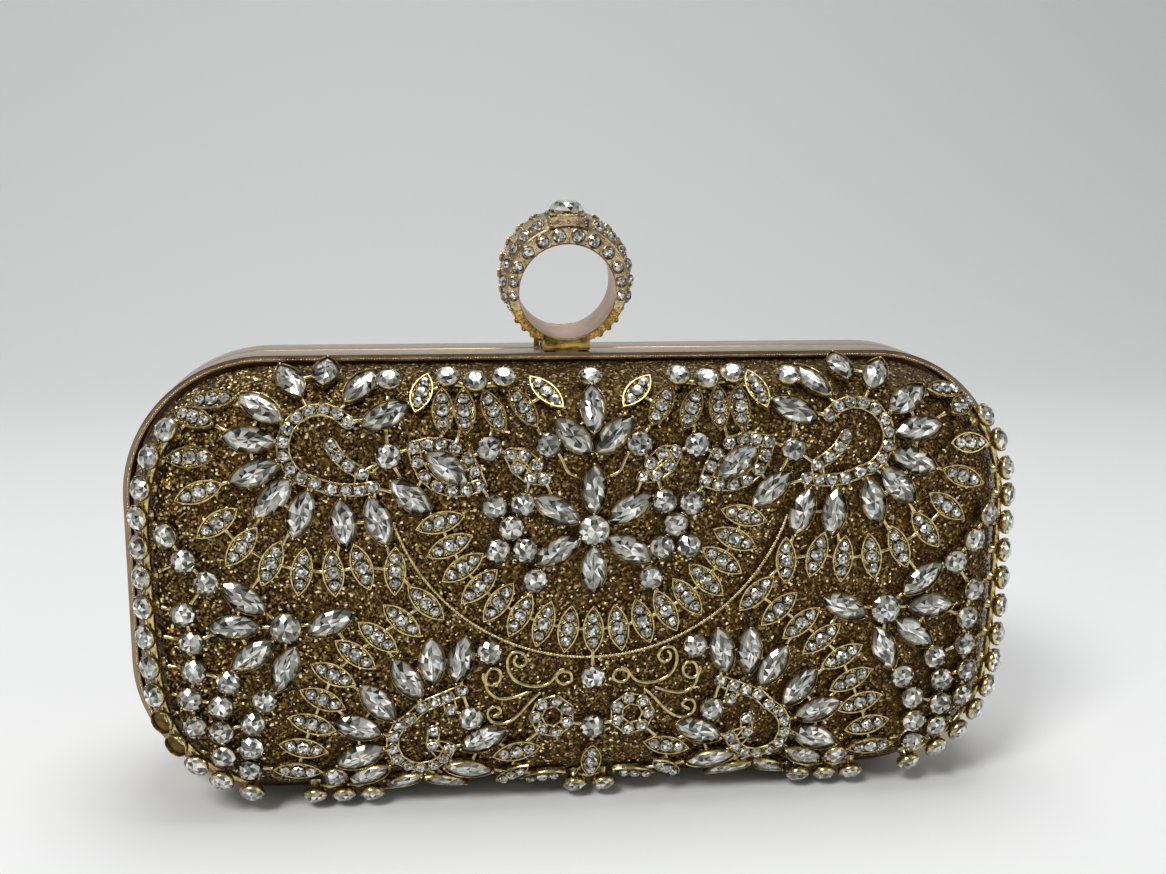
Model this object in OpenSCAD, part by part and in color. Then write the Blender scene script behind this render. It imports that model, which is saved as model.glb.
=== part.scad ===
// Minaudiere: a hard evening case in two domed halves, hinged along the bottom.
// Origin at the bottom of the case, in the seam plane. X is the width, the front
// faces -Y and Z is up. Lengths are in millimetres.

/* [Case] */
// Width of the case over its metal frame
case_w = 178; // [165:1:195]
// Height of the case over its metal frame
case_h = 89; // [84:1:96]
// Radius of the frame's corners
corner_r = 28; // [24:1:32]
// Depth of each frame half, from the seam
frame_depth = 8.5; // [8:0.5:11]
// Thickness of the frame's band
frame_wall = 1.2; // [1:0.1:1.5]
// Thickness of the ledge inside the band that carries the panel
ledge_t = 1.2; // [0.8:0.1:1.3]
// How far the ledge reaches in from the band
ledge_w = 3.6; // [2.5:0.1:5]
// Gap between the two frame halves
seam_gap = 0.2; // [0.1:0.05:0.3]

/* [Panels] */
// Width of the curved shoulder round each panel
shoulder_w = 11; // [9:0.5:14]
// Rise of the shoulder above the edge of the frame
shoulder_rise = 12.5; // [10:0.5:15]
// Extra rise of the panel towards its middle
crown_rise = 3.5; // [2:0.5:5]
// Height of the upright wall that shows beside the frame
wall_rise = 0.3; // [0.2:0.1:1]
// Thickness of the metal panel
panel_wall = 2; // [1.4:0.1:2.4]
// Thickness of the glittered cloth on the panel
cover_t = 0.7; // [0.4:0.1:1]
// Thickness of the lining inside the panel
lining_t = 0.6; // [0.4:0.1:0.9]
// Gap between the frame's band and the cloth
rim_gap = 0.6; // [0.4:0.1:0.9]
// Length of cloth that is tucked inside the frame
tuck = 1.5; // [1:0.1:1.7]

/* [Hinge] */
// Length of the hinge
hinge_len = 104; // [80:1:110]
// Number of knuckles, an odd number
knuckle_count = 5; // [3:2:7]
// Radius of the hinge barrel
barrel_r = 1.15; // [1:0.05:1.2]
// Radius of the hinge pin
pin_r = 0.6; // [0.5:0.05:0.7]
// Thickness of the hinge leaves
leaf_t = 0.5; // [0.4:0.05:0.6]
// Gap between the hinge leaves and the cloth
leaf_clearance = 0.65; // [0.5:0.05:1]

/* [Clasp] */
// Place of the clasp along the width
clasp_offset = -1.8; // [-6:0.1:6]
// Width of the saddle under the finger ring
saddle_w = 9.1; // [8:0.1:11]
// Height of the saddle
saddle_h = 4.4; // [3.8:0.1:5]
// Height of the inside of the finger ring above the case
ring_seat = 3.25; // [3:0.05:3.6]
// Radius of the finger hole
ring_bore_r = 9.55; // [9:0.05:10.5]
// Thickness of the ring where it meets the saddle
ring_foot_t = 1.4; // [1.2:0.05:1.6]
// Thickness of the ring at its crown
ring_crown_t = 4.3; // [3.6:0.1:5]
// Width of the ring's band
ring_w = 11.5; // [10.5:0.1:12]
// Width and height of the bevel on both edges of the band
ring_bevel = 1.5; // [1.2:0.1:1.8]
// Forward lean of the ring in degrees
ring_lean = 9; // [0:1:12]
// Radius of the clasp's pivot pin
clasp_pin_r = 0.45; // [0.35:0.05:0.5]
// Wall round the bore of the clasp's pivot
clasp_boss_wall = 0.4; // [0.35:0.05:0.45]
// Thickness of the lugs that hold the pivot pin
lug_t = 1; // [0.8:0.1:1.4]
// Diameter of the large stone on the ring
solitaire_d = 7; // [6:0.1:8]

/* [Ornament] */
// Place of the ornament's middle along the width
ornament_offset = 1.4; // [-3:0.1:3]
// Diameter of the round cups
cup_d = 5; // [4.6:0.1:5.2]
// Height of the round cups
cup_h = 1.7; // [1.4:0.1:2.2]
// Length of the stems under the cups along the edge
stem_h = 1.5; // [0.5:0.1:2]
// Diameter of the cups at the middle of each flower
centre_d = 6.2; // [5.6:0.1:6.4]
// Diameter of the small cups in the loops
bead_d = 2.4; // [2:0.1:2.5]
// Height of the small cups
bead_h = 0.9; // [0.6:0.1:1.2]
// Length of the pointed petals
petal_len = 9.2; // [8:0.1:9.6]
// Width of the pointed petals
petal_w = 4.5; // [4:0.1:4.8]
// Height of the petals' settings
petal_h = 1.4; // [1.1:0.1:1.8]
// Length of the leaves
leaf_len = 9.2; // [8:0.1:9.6]
// Width of the leaves
leaf_blade_w = 3.7; // [3.2:0.1:3.9]
// Height of the leaves
leaf_h = 1.2; // [0.9:0.1:1.5]
// Thickness of the metal lip round each stone
lip_t = 0.35; // [0.3:0.05:0.45]
// Thickness of the lip round the small stones in the loops
bead_lip_t = 0.25; // [0.2:0.05:0.3]
// Diameter of the scroll wires
wire_d = 0.8; // [0.6:0.1:1]

/* [Hidden] */
$fn = 32;

// Fits
glue_gap = 0.1;
running_fit = 0.05;
seat_gap = 0.04;
cut_over = 1;
probe = 0.05;

// Panel profile
rim_inset = frame_wall + rim_gap;
panel_foot = seam_gap / 2 + ledge_t + glue_gap;
cover_foot = frame_depth - tuck;
shoulder_foot = frame_depth + wall_rise;
panel_inset = cover_t + glue_gap;
lining_inset = panel_inset + panel_wall + glue_gap;
flat_reach = case_h / 2 - rim_inset - shoulder_w;
full_share = 0.42;
corner_steps = 6;
run_steps = [8, 1, 8, 1];
cover_turns = [0, 22.5, 45, 67.5, 90];
lining_turns = [0, 45, 90];
flat_shares = [0.45, 0.85];

// Hinge
hinge_z = barrel_r + seam_gap;
hinge_slot = barrel_r + seam_gap;
slot_top = hinge_z + barrel_r + seam_gap;
leaf_z = frame_wall + running_fit;
knuckle_gap = 0.15;
knuckle_pitch = hinge_len / knuckle_count;
leaf_w = cover_foot - leaf_clearance - hinge_slot;

// Clasp
clasp_lift = 0.25;
clasp_boss_r = clasp_pin_r + running_fit + clasp_boss_wall;
clasp_pin_z = case_h + clasp_lift + clasp_boss_r;
clasp_pin_y = frame_depth - 2 * clasp_boss_r - cut_over;
saddle_cheek = 0.65;
saddle_front = ring_w / 2 + saddle_cheek;
ring_r = ring_bore_r + (ring_foot_t + ring_crown_t) / 2;
ring_rise = (ring_crown_t - ring_foot_t) / 2;
ring_half = ring_w / 2;
ring_top_half = ring_half - ring_bevel;
catch_t = 0.15;
catch_w = 4;
bevel_stone_r = 0.95;
crown_stone_r = 1.1;
ring_bead_r = 0.55;
stone_sink = 0.35;
bezel_h = 2.2;
bezel_wall = 0.5;
bezel_foot_share = 0.62;
solitaire_rise = 1;
solitaire_table_share = 0.6;
bevel_lean = 45;
bevel_turns = [80, 62, 43, 24, 8, -7];
crown_turns = [62, 47, 32, 17, 2, -13];
bead_turns = [-36, -46, -56];
crown_row_shares = [-0.56, 0.56];

// Ornament
grid_columns = 178;
grid_rows = 89;
ornament_share = min(1, case_w / grid_columns, case_h / grid_rows);
upright = 90;
stem_r = 1;
cup_floor_share = 0.4;
cup_foot_share = 0.6;
stone_crown_share = 0.3;
stone_table_share = 0.55;
leaf_stone_r = 0.95;
leaf_stone_pitch = 2.45;
leaf_end_share = 0.8;
point_steps = 4;
foot_steps = 6;
foot_start_share = 0.08;
wire_sides = 6;
wire_lift = 0.15;
bend_steps = 3;
cup_reach = cup_h;
edge_reach = stem_h + cup_h;

function half_outline(inset) = [case_w / 2 - inset, case_h / 2 - inset];
function inset_radius(inset) = max(corner_r - inset, full_share * (case_h / 2 - inset));

// Point i of corner k of the case outline at an inset, anticlockwise from the right
function corner_point(inset, k, i) =
    let (
        r = inset_radius(inset),
        half = half_outline(inset),
        turn = 90 * (k + i / corner_steps),
        side_x = (k == 0 || k == 3) ? 1 : -1,
        side_z = k < 2 ? 1 : -1
    )
    [side_x * (half.x - r) + r * cos(turn), case_h / 2 + side_z * (half.y - r) + r * sin(turn)];

// The whole outline at an inset: four corners with extra points along the long runs
function outline(inset) = [
    for (k = [0:3])
        each concat(
            [for (i = [0:corner_steps]) corner_point(inset, k, i)],
            [for (j = [1:1:run_steps[k] - 1])
                let (
                    start = corner_point(inset, k, corner_steps),
                    end = corner_point(inset, (k + 1) % 4, 0)
                )
                start + (end - start) * j / run_steps[k]]
        )
];

// Rise of the crown, full in the middle and nothing at the frame
function crown(x, z) =
    let (
        u = min(1, abs(x) / (case_w / 2 - rim_inset)),
        v = min(1, abs(z - case_h / 2) / (case_h / 2 - rim_inset))
    )
    crown_rise * (1 - pow(u, 4)) * (1 - pow(v, 4));

// One ring of the cloth's outer face: inset, depth, outward and forward parts of its
// normal, and how much of the crown it takes
function shoulder_ring(turn) =
    let (
        out = shoulder_rise * cos(turn),
        fore = shoulder_w * sin(turn),
        size = norm([out, fore])
    )
    [rim_inset + shoulder_w * (1 - cos(turn)), shoulder_foot + shoulder_rise * sin(turn),
        out / size, fore / size, sin(turn)];
function flat_ring(share) =
    [rim_inset + shoulder_w + share * flat_reach, shoulder_foot + shoulder_rise, 0, 1, 1];
function panel_rings(foot, turns) = concat(
    [[rim_inset, foot, 1, 0, 0]],
    [for (turn = turns) shoulder_ring(turn)],
    [for (share = flat_shares) flat_ring(share)]
);

// The points of one ring, moved in from the cloth's face by a distance
function ring_points(ring, inward) =
    let (
        base = outline(ring[0]),
        moved = outline(ring[0] + inward * ring[2])
    )
    [for (i = [0:len(base) - 1])
        [moved[i].x, inward * ring[3] - ring[1] - ring[4] * crown(base[i].x, base[i].y), moved[i].y]];

// Triangles between two rings of n points, and across the last ring
function band_faces(a, b, n) = [
    for (i = [0:n - 1])
        let (j = (i + 1) % n)
        each [[a + i, b + j, a + j], [a + i, b + i, b + j]]
];
function cap_faces(a, n) = [
    for (i = [0:n / 2 - 2])
        let (j = n - 1 - i)
        each [[a + i, a + j - 1, a + i + 1], [a + i, a + j, a + j - 1]]
];
function flipped(faces) = [for (f = faces) [f[0], f[2], f[1]]];

// A dished skin of the front half, between two distances inward from the cloth's face
module skin(foot, turns, outer, inner) {
    rings = panel_rings(foot, turns);
    count = len(rings);
    n = len(outline(rim_inset));
    points = concat(
        [for (ring = rings) each ring_points(ring, outer)],
        [for (ring = rings) each ring_points(ring, inner)]
    );
    inside = count * n;
    faces = concat(
        [for (k = [0:count - 2]) each band_faces(k * n, (k + 1) * n, n)],
        cap_faces((count - 1) * n, n),
        [for (k = [0:count - 2]) each flipped(band_faces(inside + k * n, inside + (k + 1) * n, n))],
        flipped(cap_faces(inside + (count - 1) * n, n)),
        flipped(band_faces(0, inside, n))
    );
    polyhedron(points = points, faces = faces, convexity = 4);
}

// Depth of the cloth's face in front of the seam, and its normal, at a place on the front
function edge_inset(x, z) =
    let (
        qx = abs(x) - (case_w / 2 - corner_r),
        qz = abs(z - case_h / 2) - (case_h / 2 - corner_r)
    )
    corner_r - norm([max(qx, 0), max(qz, 0)]) - min(max(qx, qz), 0);
function face_depth(x, z) =
    let (run = min(shoulder_w, max(0, edge_inset(x, z) - rim_inset)) / shoulder_w)
    shoulder_foot + (shoulder_rise + crown(x, z)) * sqrt(1 - pow(1 - run, 2));
function face_normal(x, z) =
    let (
        n = [
            face_depth(x - probe, z) - face_depth(x + probe, z),
            2 * probe,
            face_depth(x, z - probe) - face_depth(x, z + probe)
        ]
    )
    n / norm(n);

// The foot on the cloth of a piece whose middle is seen at a place, a reach above the cloth
function foot_of(seen, reach, steps = foot_steps) =
    steps == 0 ? seen + foot_start_share * ([0, case_h / 2] - seen) :
    let (
        foot = foot_of(seen, reach, steps - 1),
        n = face_normal(foot.x, foot.y)
    )
    [seen.x - reach * n.x, seen.y - reach * n.z];

// A place on the front, in grid shares of the case, on the right or mirrored to the left
function place(share, side) = [
    ornament_offset * ornament_share + side * share[0] * case_w / grid_columns,
    share[1] * case_h / grid_rows
];

// Stands children on the cloth, with their own Z outward and turned by a tilt. On a
// smaller case they shrink with it
module on_front(seen, reach, tilt = 0) {
    foot = foot_of(seen, reach * ornament_share);
    n = face_normal(foot.x, foot.y);
    translate([foot.x, -face_depth(foot.x, foot.y), foot.y])
        rotate([90 - asin(n.z), 0, atan2(n.x, n.y)])
            rotate([0, 0, tilt])
                scale(ornament_share)
                    children();
}

// Places of the ornament on the right half: column and row of the grid, and a tilt
edge_shares = [
    [79.5, 77.4], [82.8, 72.3], [84.6, 66.4], [85.5, 60.7], [85.5, 55], [85.3, 49.2],
    [85.3, 43.4], [85.2, 37.5], [84.6, 31.7], [83.9, 26.2], [82.7, 20.8], [80.2, 15.9],
    [76.6, 11.6], [72, 8], [66.4, 4.8]
];
empty_left_cups = [10, 11];
top_shares = [[38.3, 86.2], [27.4, 86.6], [22.2, 85.8], [16.8, 86.4]];
bottom_shares = [[54.3, 2.8], [48.8, 2.6], [43.2, 2.7], [2.9, 2.8]];
round_shares = [
    [80.3, 57.4], [77, 52.6], [72.9, 48.4], [77.5, 42.4], [76.2, 36.6], [76, 31], [77, 25.4],
    [76.4, 19.8], [71.2, 13.4], [66.4, 10.1], [69.6, 28.8], [71.3, 23.8], [71.4, 18.6],
    [62.9, 25], [65.3, 20.3], [65.9, 15.2], [50.2, 7.9], [38.7, 72.2], [19.8, 73.4],
    [8.7, 73.8], [18.9, 62.2], [13.6, 62.6], [15.8, 58], [18.4, 53.7], [13.2, 53.6],
    [11.2, 47.6], [20.1, 33.5], [23.8, 20]
];
middle_shares = [[0, 27.7], [0, 17.3], [0, 86]];
flower_shares = [[58.5, 39.4]];
middle_flower_shares = [[0, 57.2]];

petal_shares = [
    [66.2, 45.3, 37], [68.2, 39.6, 0], [64.9, 34, -36], [58.8, 31.1, -67], [50.2, 40.2, -25],
    [3.9, 75.4, 45], [27.7, 69.8, 37], [47.2, 59.4, 85], [40.8, 59.8, 73], [34.6, 64.4, 41],
    [41.6, 23.8, 50], [36, 28.5, 58], [31.1, 31.8, 90], [25.6, 32.1, 102], [45.6, 18.8, 17],
    [45.2, 12.6, -20], [43.8, 7.6, -33], [37.2, 4.8, -42], [28.6, 4.4, 35], [24.3, 8.2, 13],
    [21.3, 15.3, -22]
];
middle_petal_shares = [[0, 65.2, 90], [0, 49.2, 90], [0, 80.5, 90]];
flower_middle_share = [0, 57.2];
flower_reach_share = 8.1;
flower_turns = [30, -30];
upper_loop_share = [51, 74];
upper_loop_reach_share = 13.2;
upper_loop_turns = [34, 64, 93, 124, 154, 7, -21, -46, -72];

fan_share = [0, 67.5];
fan_reach_share = 30.3;
fan_step = 9.3;
fan_count = 8;
outer_fan_share = [51, 74];
outer_fan_reach_share = 24;
outer_fan_turns = [13, -4, -20, -36, -51, -66, -80, -94, -107];
leaf_shares = [
    [32.3, 83.4, -75], [28.4, 80.3, 90], [24.3, 80.2, -92], [18.9, 80.1, 68], [13.2, 80.7, 60],
    [8.7, 83.3, 52], [71, 82.5, -8], [37.8, 50.1, -88], [32.1, 43.6, 45], [36.7, 40.3, 43],
    [41.3, 37.2, 40], [45.6, 33.8, 38], [49.9, 29.9, 28],
    [52, 24.9, 26], [54.2, 19.9, 19], [56, 14.9, 12], [57.3, 9.8, 6],
    [14.9, 12.4, -12], [15.6, 6.2, -50], [9.4, 4.8, -18]
];
middle_leaf_shares = [[0, 9.4, 90]];

// Loops of small stones: middle, radius and the turn of each stone, then what leaves the loop
upper_pave_share = [51.2, 74];
upper_pave_reach_share = 6.9;
upper_pave_turns = [140, 118, 96, 74, 52, 30, 8, -14, -36, -58, -80];
upper_tail_shares = [
    [49.3, 66.1], [46.7, 65.8], [44.1, 65.8], [41.5, 66.2], [43.6, 68.9], [46.1, 70.4],
    [48, 72.2], [49.3, 74.4]
];
lower_pave_share = [33.4, 14.9];
lower_pave_reach_share = 5.7;
lower_pave_turns = [68, 42, 16, -10, -36, -62, -88, -114, -140, -166];
lower_tail_shares = [
    [33.2, 22.5], [30.7, 23.5], [28.2, 24.5], [25.5, 25.6], [27.6, 21.7], [31, 17.4],
    [31.3, 14.4]
];
oval_pave_shares = [
    [34, 73.6], [31.4, 74.2], [28.9, 74.2], [26.2, 73.4], [23.8, 71.4], [22.6, 69],
    [21.6, 66.2], [24.2, 65.4], [27, 65.3], [29.7, 66.2], [32, 68.2], [33.3, 70.9]
];
small_pave_share = [7.9, 19.5];
small_pave_reach_share = 3.3;
small_pave_count = 7;
pear_pave_shares = [
    [15.9, 72], [13.2, 71.9], [10.9, 69.9], [14.6, 69.3], [12.1, 67.4], [9.4, 67.2]
];

// Wires: points that a curve passes through
arc_share = [0, 71.5];
arc_reach_share = 39.9;
arc_sweep = 72;
arc_steps = 36;
wire_shares = [
    [[13.8, 30.1], [12.9, 31.2], [13.6, 32.7], [15.1, 33.2], [16.4, 32.3], [16.6, 30], [15.5, 27.6],
        [13.3, 26.3], [10.9, 25.9], [8.5, 26.5], [7.1, 28.2], [5.5, 28.9], [4.2, 28.2], [4.2, 26.8],
        [5.5, 26.2]],
    [[18, 27.7], [18, 29.2], [19.4, 30], [20.6, 29], [20.8, 26.3], [19.7, 24.5], [17.7, 23.6],
        [14.9, 24], [12.6, 24.8]],
    [[19.3, 20], [17.9, 20.9], [18.7, 22], [20, 21.8], [20.6, 20.4], [19.7, 18.9], [18, 18.4],
        [15.9, 19], [13.9, 20.8], [12.2, 22.8], [10.4, 24.5]],
    [[6.7, 71.9], [5.9, 70.4], [5, 68.4], [3.4, 67.6]]
];

// Places on a circle of the grid, with each piece pointing away from the middle
function round_places(middle, reach, turns) =
    [for (turn = turns) [middle[0] + reach * cos(turn), middle[1] + reach * sin(turn), turn]];

petal_places = concat(
    petal_shares,
    round_places(flower_middle_share, flower_reach_share, flower_turns),
    round_places(upper_loop_share, upper_loop_reach_share, upper_loop_turns)
);
fan_turns = [for (k = [1:fan_count]) fan_step * k - upright];
leaf_places = concat(
    leaf_shares,
    round_places(fan_share, fan_reach_share, fan_turns),
    round_places(outer_fan_share, outer_fan_reach_share, outer_fan_turns)
);
middle_leaf_places = concat(
    middle_leaf_shares,
    [[fan_share[0], fan_share[1] - fan_reach_share, upright]]
);
small_turns = [for (k = [0:small_pave_count - 1]) 360 * k / small_pave_count];
pave_places = concat(
    round_places(upper_pave_share, upper_pave_reach_share, upper_pave_turns),
    upper_tail_shares,
    round_places(lower_pave_share, lower_pave_reach_share, lower_pave_turns),
    lower_tail_shares,
    oval_pave_shares,
    round_places(small_pave_share, small_pave_reach_share, small_turns),
    pear_pave_shares
);

// Both halves of a table of places, and the pieces on the middle line
module both_sides(places, reach) {
    for (side = [-1, 1])
        for (p = places)
            on_front(place(p, side), reach, side * (p[2] == undef ? 0 : p[2]))
                children();
}
module on_middle(places, reach) {
    for (p = places)
        on_front(place(p, 0), reach, p[2] == undef ? 0 : p[2])
            children();
}

// A revolved cup: a foot that widens into a bowl with a lip
module cup(d, h, wall = lip_t) {
    rotate_extrude()
        polygon([
            [0, 0], [d / 2 * cup_foot_share, 0], [d / 2, h * cup_floor_share], [d / 2, h],
            [d / 2 - wall, h], [d / 2 - wall, h * cup_floor_share],
            [0, h * cup_floor_share]
        ]);
}

// A revolved stone that stands on its flat back inside a cup
module round_stone(d, h) {
    rotate_extrude()
        polygon([
            [0, 0], [d / 2, 0], [d / 2, h * (1 - stone_crown_share)],
            [d / 2 * stone_table_share, h], [0, h]
        ]);
}

// A pointed outline between two equal arcs
module pointed(l, w) {
    r = (l * l + w * w) / (4 * w);
    intersection() {
        translate([0, r - w / 2]) circle(r = r, $fn = 96);
        translate([0, w / 2 - r]) circle(r = r, $fn = 96);
    }
}
function pointed_outline(l, w) =
    let (
        r = (l * l + w * w) / (4 * w),
        sweep = asin(l / 2 / r)
    )
    concat(
        [for (i = [0:point_steps - 1])
            let (a = sweep * (1 - 2 * i / point_steps))
            [r * sin(a), r * cos(a) - r + w / 2]],
        [for (i = [0:point_steps - 1])
            let (a = sweep * (1 - 2 * i / point_steps))
            [-r * sin(a), r - w / 2 - r * cos(a)]]
    );

// A pointed stone with a flat back, a girdle and a small table
module pointed_stone(l, w, h) {
    girdle = pointed_outline(l, w);
    n = len(girdle);
    points = concat(
        [for (p = girdle) [p.x, p.y, 0]],
        [for (p = girdle) [p.x, p.y, h * (1 - stone_crown_share)]],
        [for (p = girdle) [p.x * stone_table_share, p.y * stone_table_share, h]]
    );
    faces = concat(
        [[for (i = [0:n - 1]) i]],
        [for (k = [0, 1]) each band_faces(k * n, (k + 1) * n, n)],
        [[for (i = [0:n - 1]) 3 * n - 1 - i]]
    );
    polyhedron(points = points, faces = faces);
}

// A tube along a list of points, with a side that is square to the front's face
module tube(path, ups, r) {
    n = len(path);
    rings = [
        for (i = [0:n - 1])
            let (
                run = path[min(i + 1, n - 1)] - path[max(i - 1, 0)],
                along = run / norm(run),
                side = cross(along, ups[i]),
                across = side / norm(side),
                up = cross(along, across)
            )
            each [for (k = [0:wire_sides - 1])
                let (a = 360 * k / wire_sides)
                path[i] + r * (cos(a) * across + sin(a) * up)]
    ];
    faces = concat(
        [[for (k = [0:wire_sides - 1]) k]],
        [for (i = [0:n - 2]) each band_faces(i * wire_sides, (i + 1) * wire_sides, wire_sides)],
        [[for (k = [0:wire_sides - 1]) n * wire_sides - 1 - k]]
    );
    polyhedron(points = rings, faces = faces);
}

// A smooth curve through hand-chosen places
function bend(a, b, c, d, t) =
    0.5 * (2 * b + (c - a) * t + (2 * a - 5 * b + 4 * c - d) * t * t
        + (3 * b - a - 3 * c + d) * t * t * t);
function smooth(points) =
    let (last = len(points) - 1)
    concat(
        [for (i = [0:last - 1])
            for (j = [0:bend_steps - 1])
                bend(points[max(i - 1, 0)], points[i], points[i + 1], points[min(i + 2, last)],
                    j / bend_steps)],
        [points[last]]
    );
module surface_wire(places) {
    r = wire_d / 2 * ornament_share;
    lift = r + wire_lift;
    ups = [for (p = places) let (n = face_normal(p.x, p.y)) [n.x, -n.y, n.z]];
    path = [for (i = [0:len(places) - 1])
        [places[i].x, -face_depth(places[i].x, places[i].y), places[i].y] + lift * ups[i]];
    tube(path, ups, r);
}

// One half of the frame: a band with a ledge along the seam, open over the hinge
module plate(inset) {
    half = half_outline(inset);
    r = inset_radius(inset);
    translate([0, case_h / 2]) {
        square([2 * (half.x - r), 2 * half.y], center = true);
        square([2 * half.x, 2 * (half.y - r)], center = true);
        for (x = [-1, 1])
            for (z = [-1, 1])
                translate([x * (half.x - r), z * (half.y - r)]) circle(r = r, $fn = 96);
    }
}
module front_slab(start, end) {
    translate([0, -start, 0])
        rotate([90, 0, 0])
            linear_extrude(end - start) children();
}
module frame_half() {
    seam = seam_gap / 2;
    difference() {
        front_slab(seam, frame_depth) plate(0);
        front_slab(seam + ledge_t, frame_depth + cut_over) plate(frame_wall);
        front_slab(0, frame_depth) plate(frame_wall + ledge_w);
        translate([-hinge_len / 2 - seam_gap, -hinge_slot, -cut_over])
            cube([hinge_len + 2 * seam_gap, 2 * hinge_slot, slot_top + cut_over]);
    }
}

// What the front half gives up along the seam below the hinge's axis, so that it clears
// the back half as it opens
module swing_relief() {
    translate([-case_w / 2, -hinge_slot, -cut_over])
        cube([case_w, hinge_slot, hinge_z + cut_over]);
}

module along_x(start, length, r) {
    translate([start, 0, 0]) rotate([0, 90, 0]) cylinder(r = r, h = length);
}

// One leaf of the hinge on the front, with every second knuckle from the first one given
module hinge_leaf(first) {
    difference() {
        union() {
            translate([-hinge_len / 2, -hinge_slot - leaf_w, leaf_z])
                cube([hinge_len, leaf_w, leaf_t]);
            for (k = [first:2:knuckle_count - 1]) {
                start = -hinge_len / 2 + k * knuckle_pitch + knuckle_gap / 2;
                length = knuckle_pitch - knuckle_gap;
                translate([0, 0, hinge_z]) along_x(start, length, barrel_r);
                translate([start, -hinge_slot - leaf_w / 2, leaf_z])
                    cube([length, hinge_slot + leaf_w / 2, leaf_t]);
            }
        }
        translate([0, 0, hinge_z])
            along_x(-hinge_len / 2 - cut_over, hinge_len + 2 * cut_over, pin_r + running_fit);
    }
}

// Places children at the clasp's foot on top of the case
module at_clasp() {
    translate([clasp_offset, 0, case_h]) children();
}
// The ring's own frame: its axis along Y and its middle at the origin
module at_ring() {
    at_clasp()
        translate([0, 0, ring_seat])
            rotate([ring_lean, 0, 0])
                translate([0, 0, ring_bore_r])
                    children();
}
module ring_disc(grow) {
    r = ring_r + grow;
    half = ring_half + grow;
    translate([0, 0, ring_rise])
        rotate([90, 0, 0])
            rotate_extrude($fn = 96)
                polygon([
                    [0, -half], [r - ring_bevel, -half], [r, ring_bevel - half],
                    [r, half - ring_bevel], [r - ring_bevel, half], [0, half]
                ]);
}
module ring_bore(grow) {
    rotate([90, 0, 0])
        cylinder(r = ring_bore_r + grow, h = ring_w + 2 * saddle_cheek + 2 * cut_over, center = true, $fn = 96);
}

module back_frame() {
    color("rosybrown") mirror([0, 1, 0]) frame_half();
}
module back_panel() {
    color("darkgoldenrod") mirror([0, 1, 0])
        skin(panel_foot, cover_turns, panel_inset, panel_inset + panel_wall);
}
module back_cover() {
    color("sienna") mirror([0, 1, 0]) skin(cover_foot, cover_turns, 0, cover_t);
}
module back_lining() {
    color("wheat") mirror([0, 1, 0])
        skin(panel_foot, lining_turns, lining_inset, lining_inset + lining_t);
}
module back_hinge_leaf() {
    color("goldenrod") mirror([0, 1, 0]) hinge_leaf(0);
}
module hinge_pin() {
    color("gray") translate([0, 0, hinge_z]) along_x(-hinge_len / 2, hinge_len, pin_r);
}
module front_frame() {
    color("rosybrown") difference() {
        frame_half();
        swing_relief();
    }
}
module front_panel() {
    color("darkgoldenrod") skin(panel_foot, cover_turns, panel_inset, panel_inset + panel_wall);
}
module front_cover() {
    color("sienna") skin(cover_foot, cover_turns, 0, cover_t);
}
module front_lining() {
    color("wheat") skin(panel_foot, lining_turns, lining_inset, lining_inset + lining_t);
}
module front_hinge_leaf() {
    color("goldenrod") hinge_leaf(1);
}

// A low plate on the front frame that the saddle closes over
module catch_plate() {
    color("gold")
        translate([clasp_offset - saddle_w / 4, -frame_depth / 2 - catch_w / 2, case_h])
            cube([saddle_w / 2, catch_w, catch_t]);
}

// Lugs on the back frame on both sides of the saddle, with the bore of the pivot
module clasp_lugs() {
    color("gold") at_clasp()
        for (side = [0, 1]) mirror([side, 0, 0])
            difference() {
                union() {
                    translate([saddle_w / 2 + knuckle_gap, clasp_pin_y, clasp_pin_z - case_h])
                        along_x(0, lug_t, clasp_boss_r);
                    translate([saddle_w / 2 + knuckle_gap, clasp_pin_y - clasp_boss_r, 0])
                        cube([lug_t, 2 * clasp_boss_r, clasp_pin_z - case_h]);
                }
                translate([0, clasp_pin_y, clasp_pin_z - case_h])
                    along_x(0, saddle_w + lug_t, clasp_pin_r + running_fit);
            }
}
module clasp_pin() {
    half = saddle_w / 2 + knuckle_gap + lug_t;
    color("gray") at_clasp()
        translate([0, clasp_pin_y, clasp_pin_z - case_h])
            along_x(-half, 2 * half, clasp_pin_r);
}

// The saddle that cradles the foot of the ring and turns on the pivot
module saddle() {
    color("gold") difference() {
        at_clasp() union() {
            translate([-saddle_w / 2, -saddle_front, clasp_lift])
                cube([saddle_w, saddle_front + clasp_pin_y, saddle_h - clasp_lift]);
            translate([0, clasp_pin_y, clasp_pin_z - case_h])
                along_x(-saddle_w / 2, saddle_w, clasp_boss_r);
        }
        at_ring() ring_disc(seat_gap);
        at_ring() ring_bore(0);
        at_clasp() translate([0, clasp_pin_y, clasp_pin_z - case_h])
            along_x(-saddle_w, 2 * saddle_w, clasp_pin_r + running_fit);
    }
}

module finger_ring() {
    color("lightpink") at_ring() difference() {
        ring_disc(0);
        ring_bore(0);
    }
}

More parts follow.
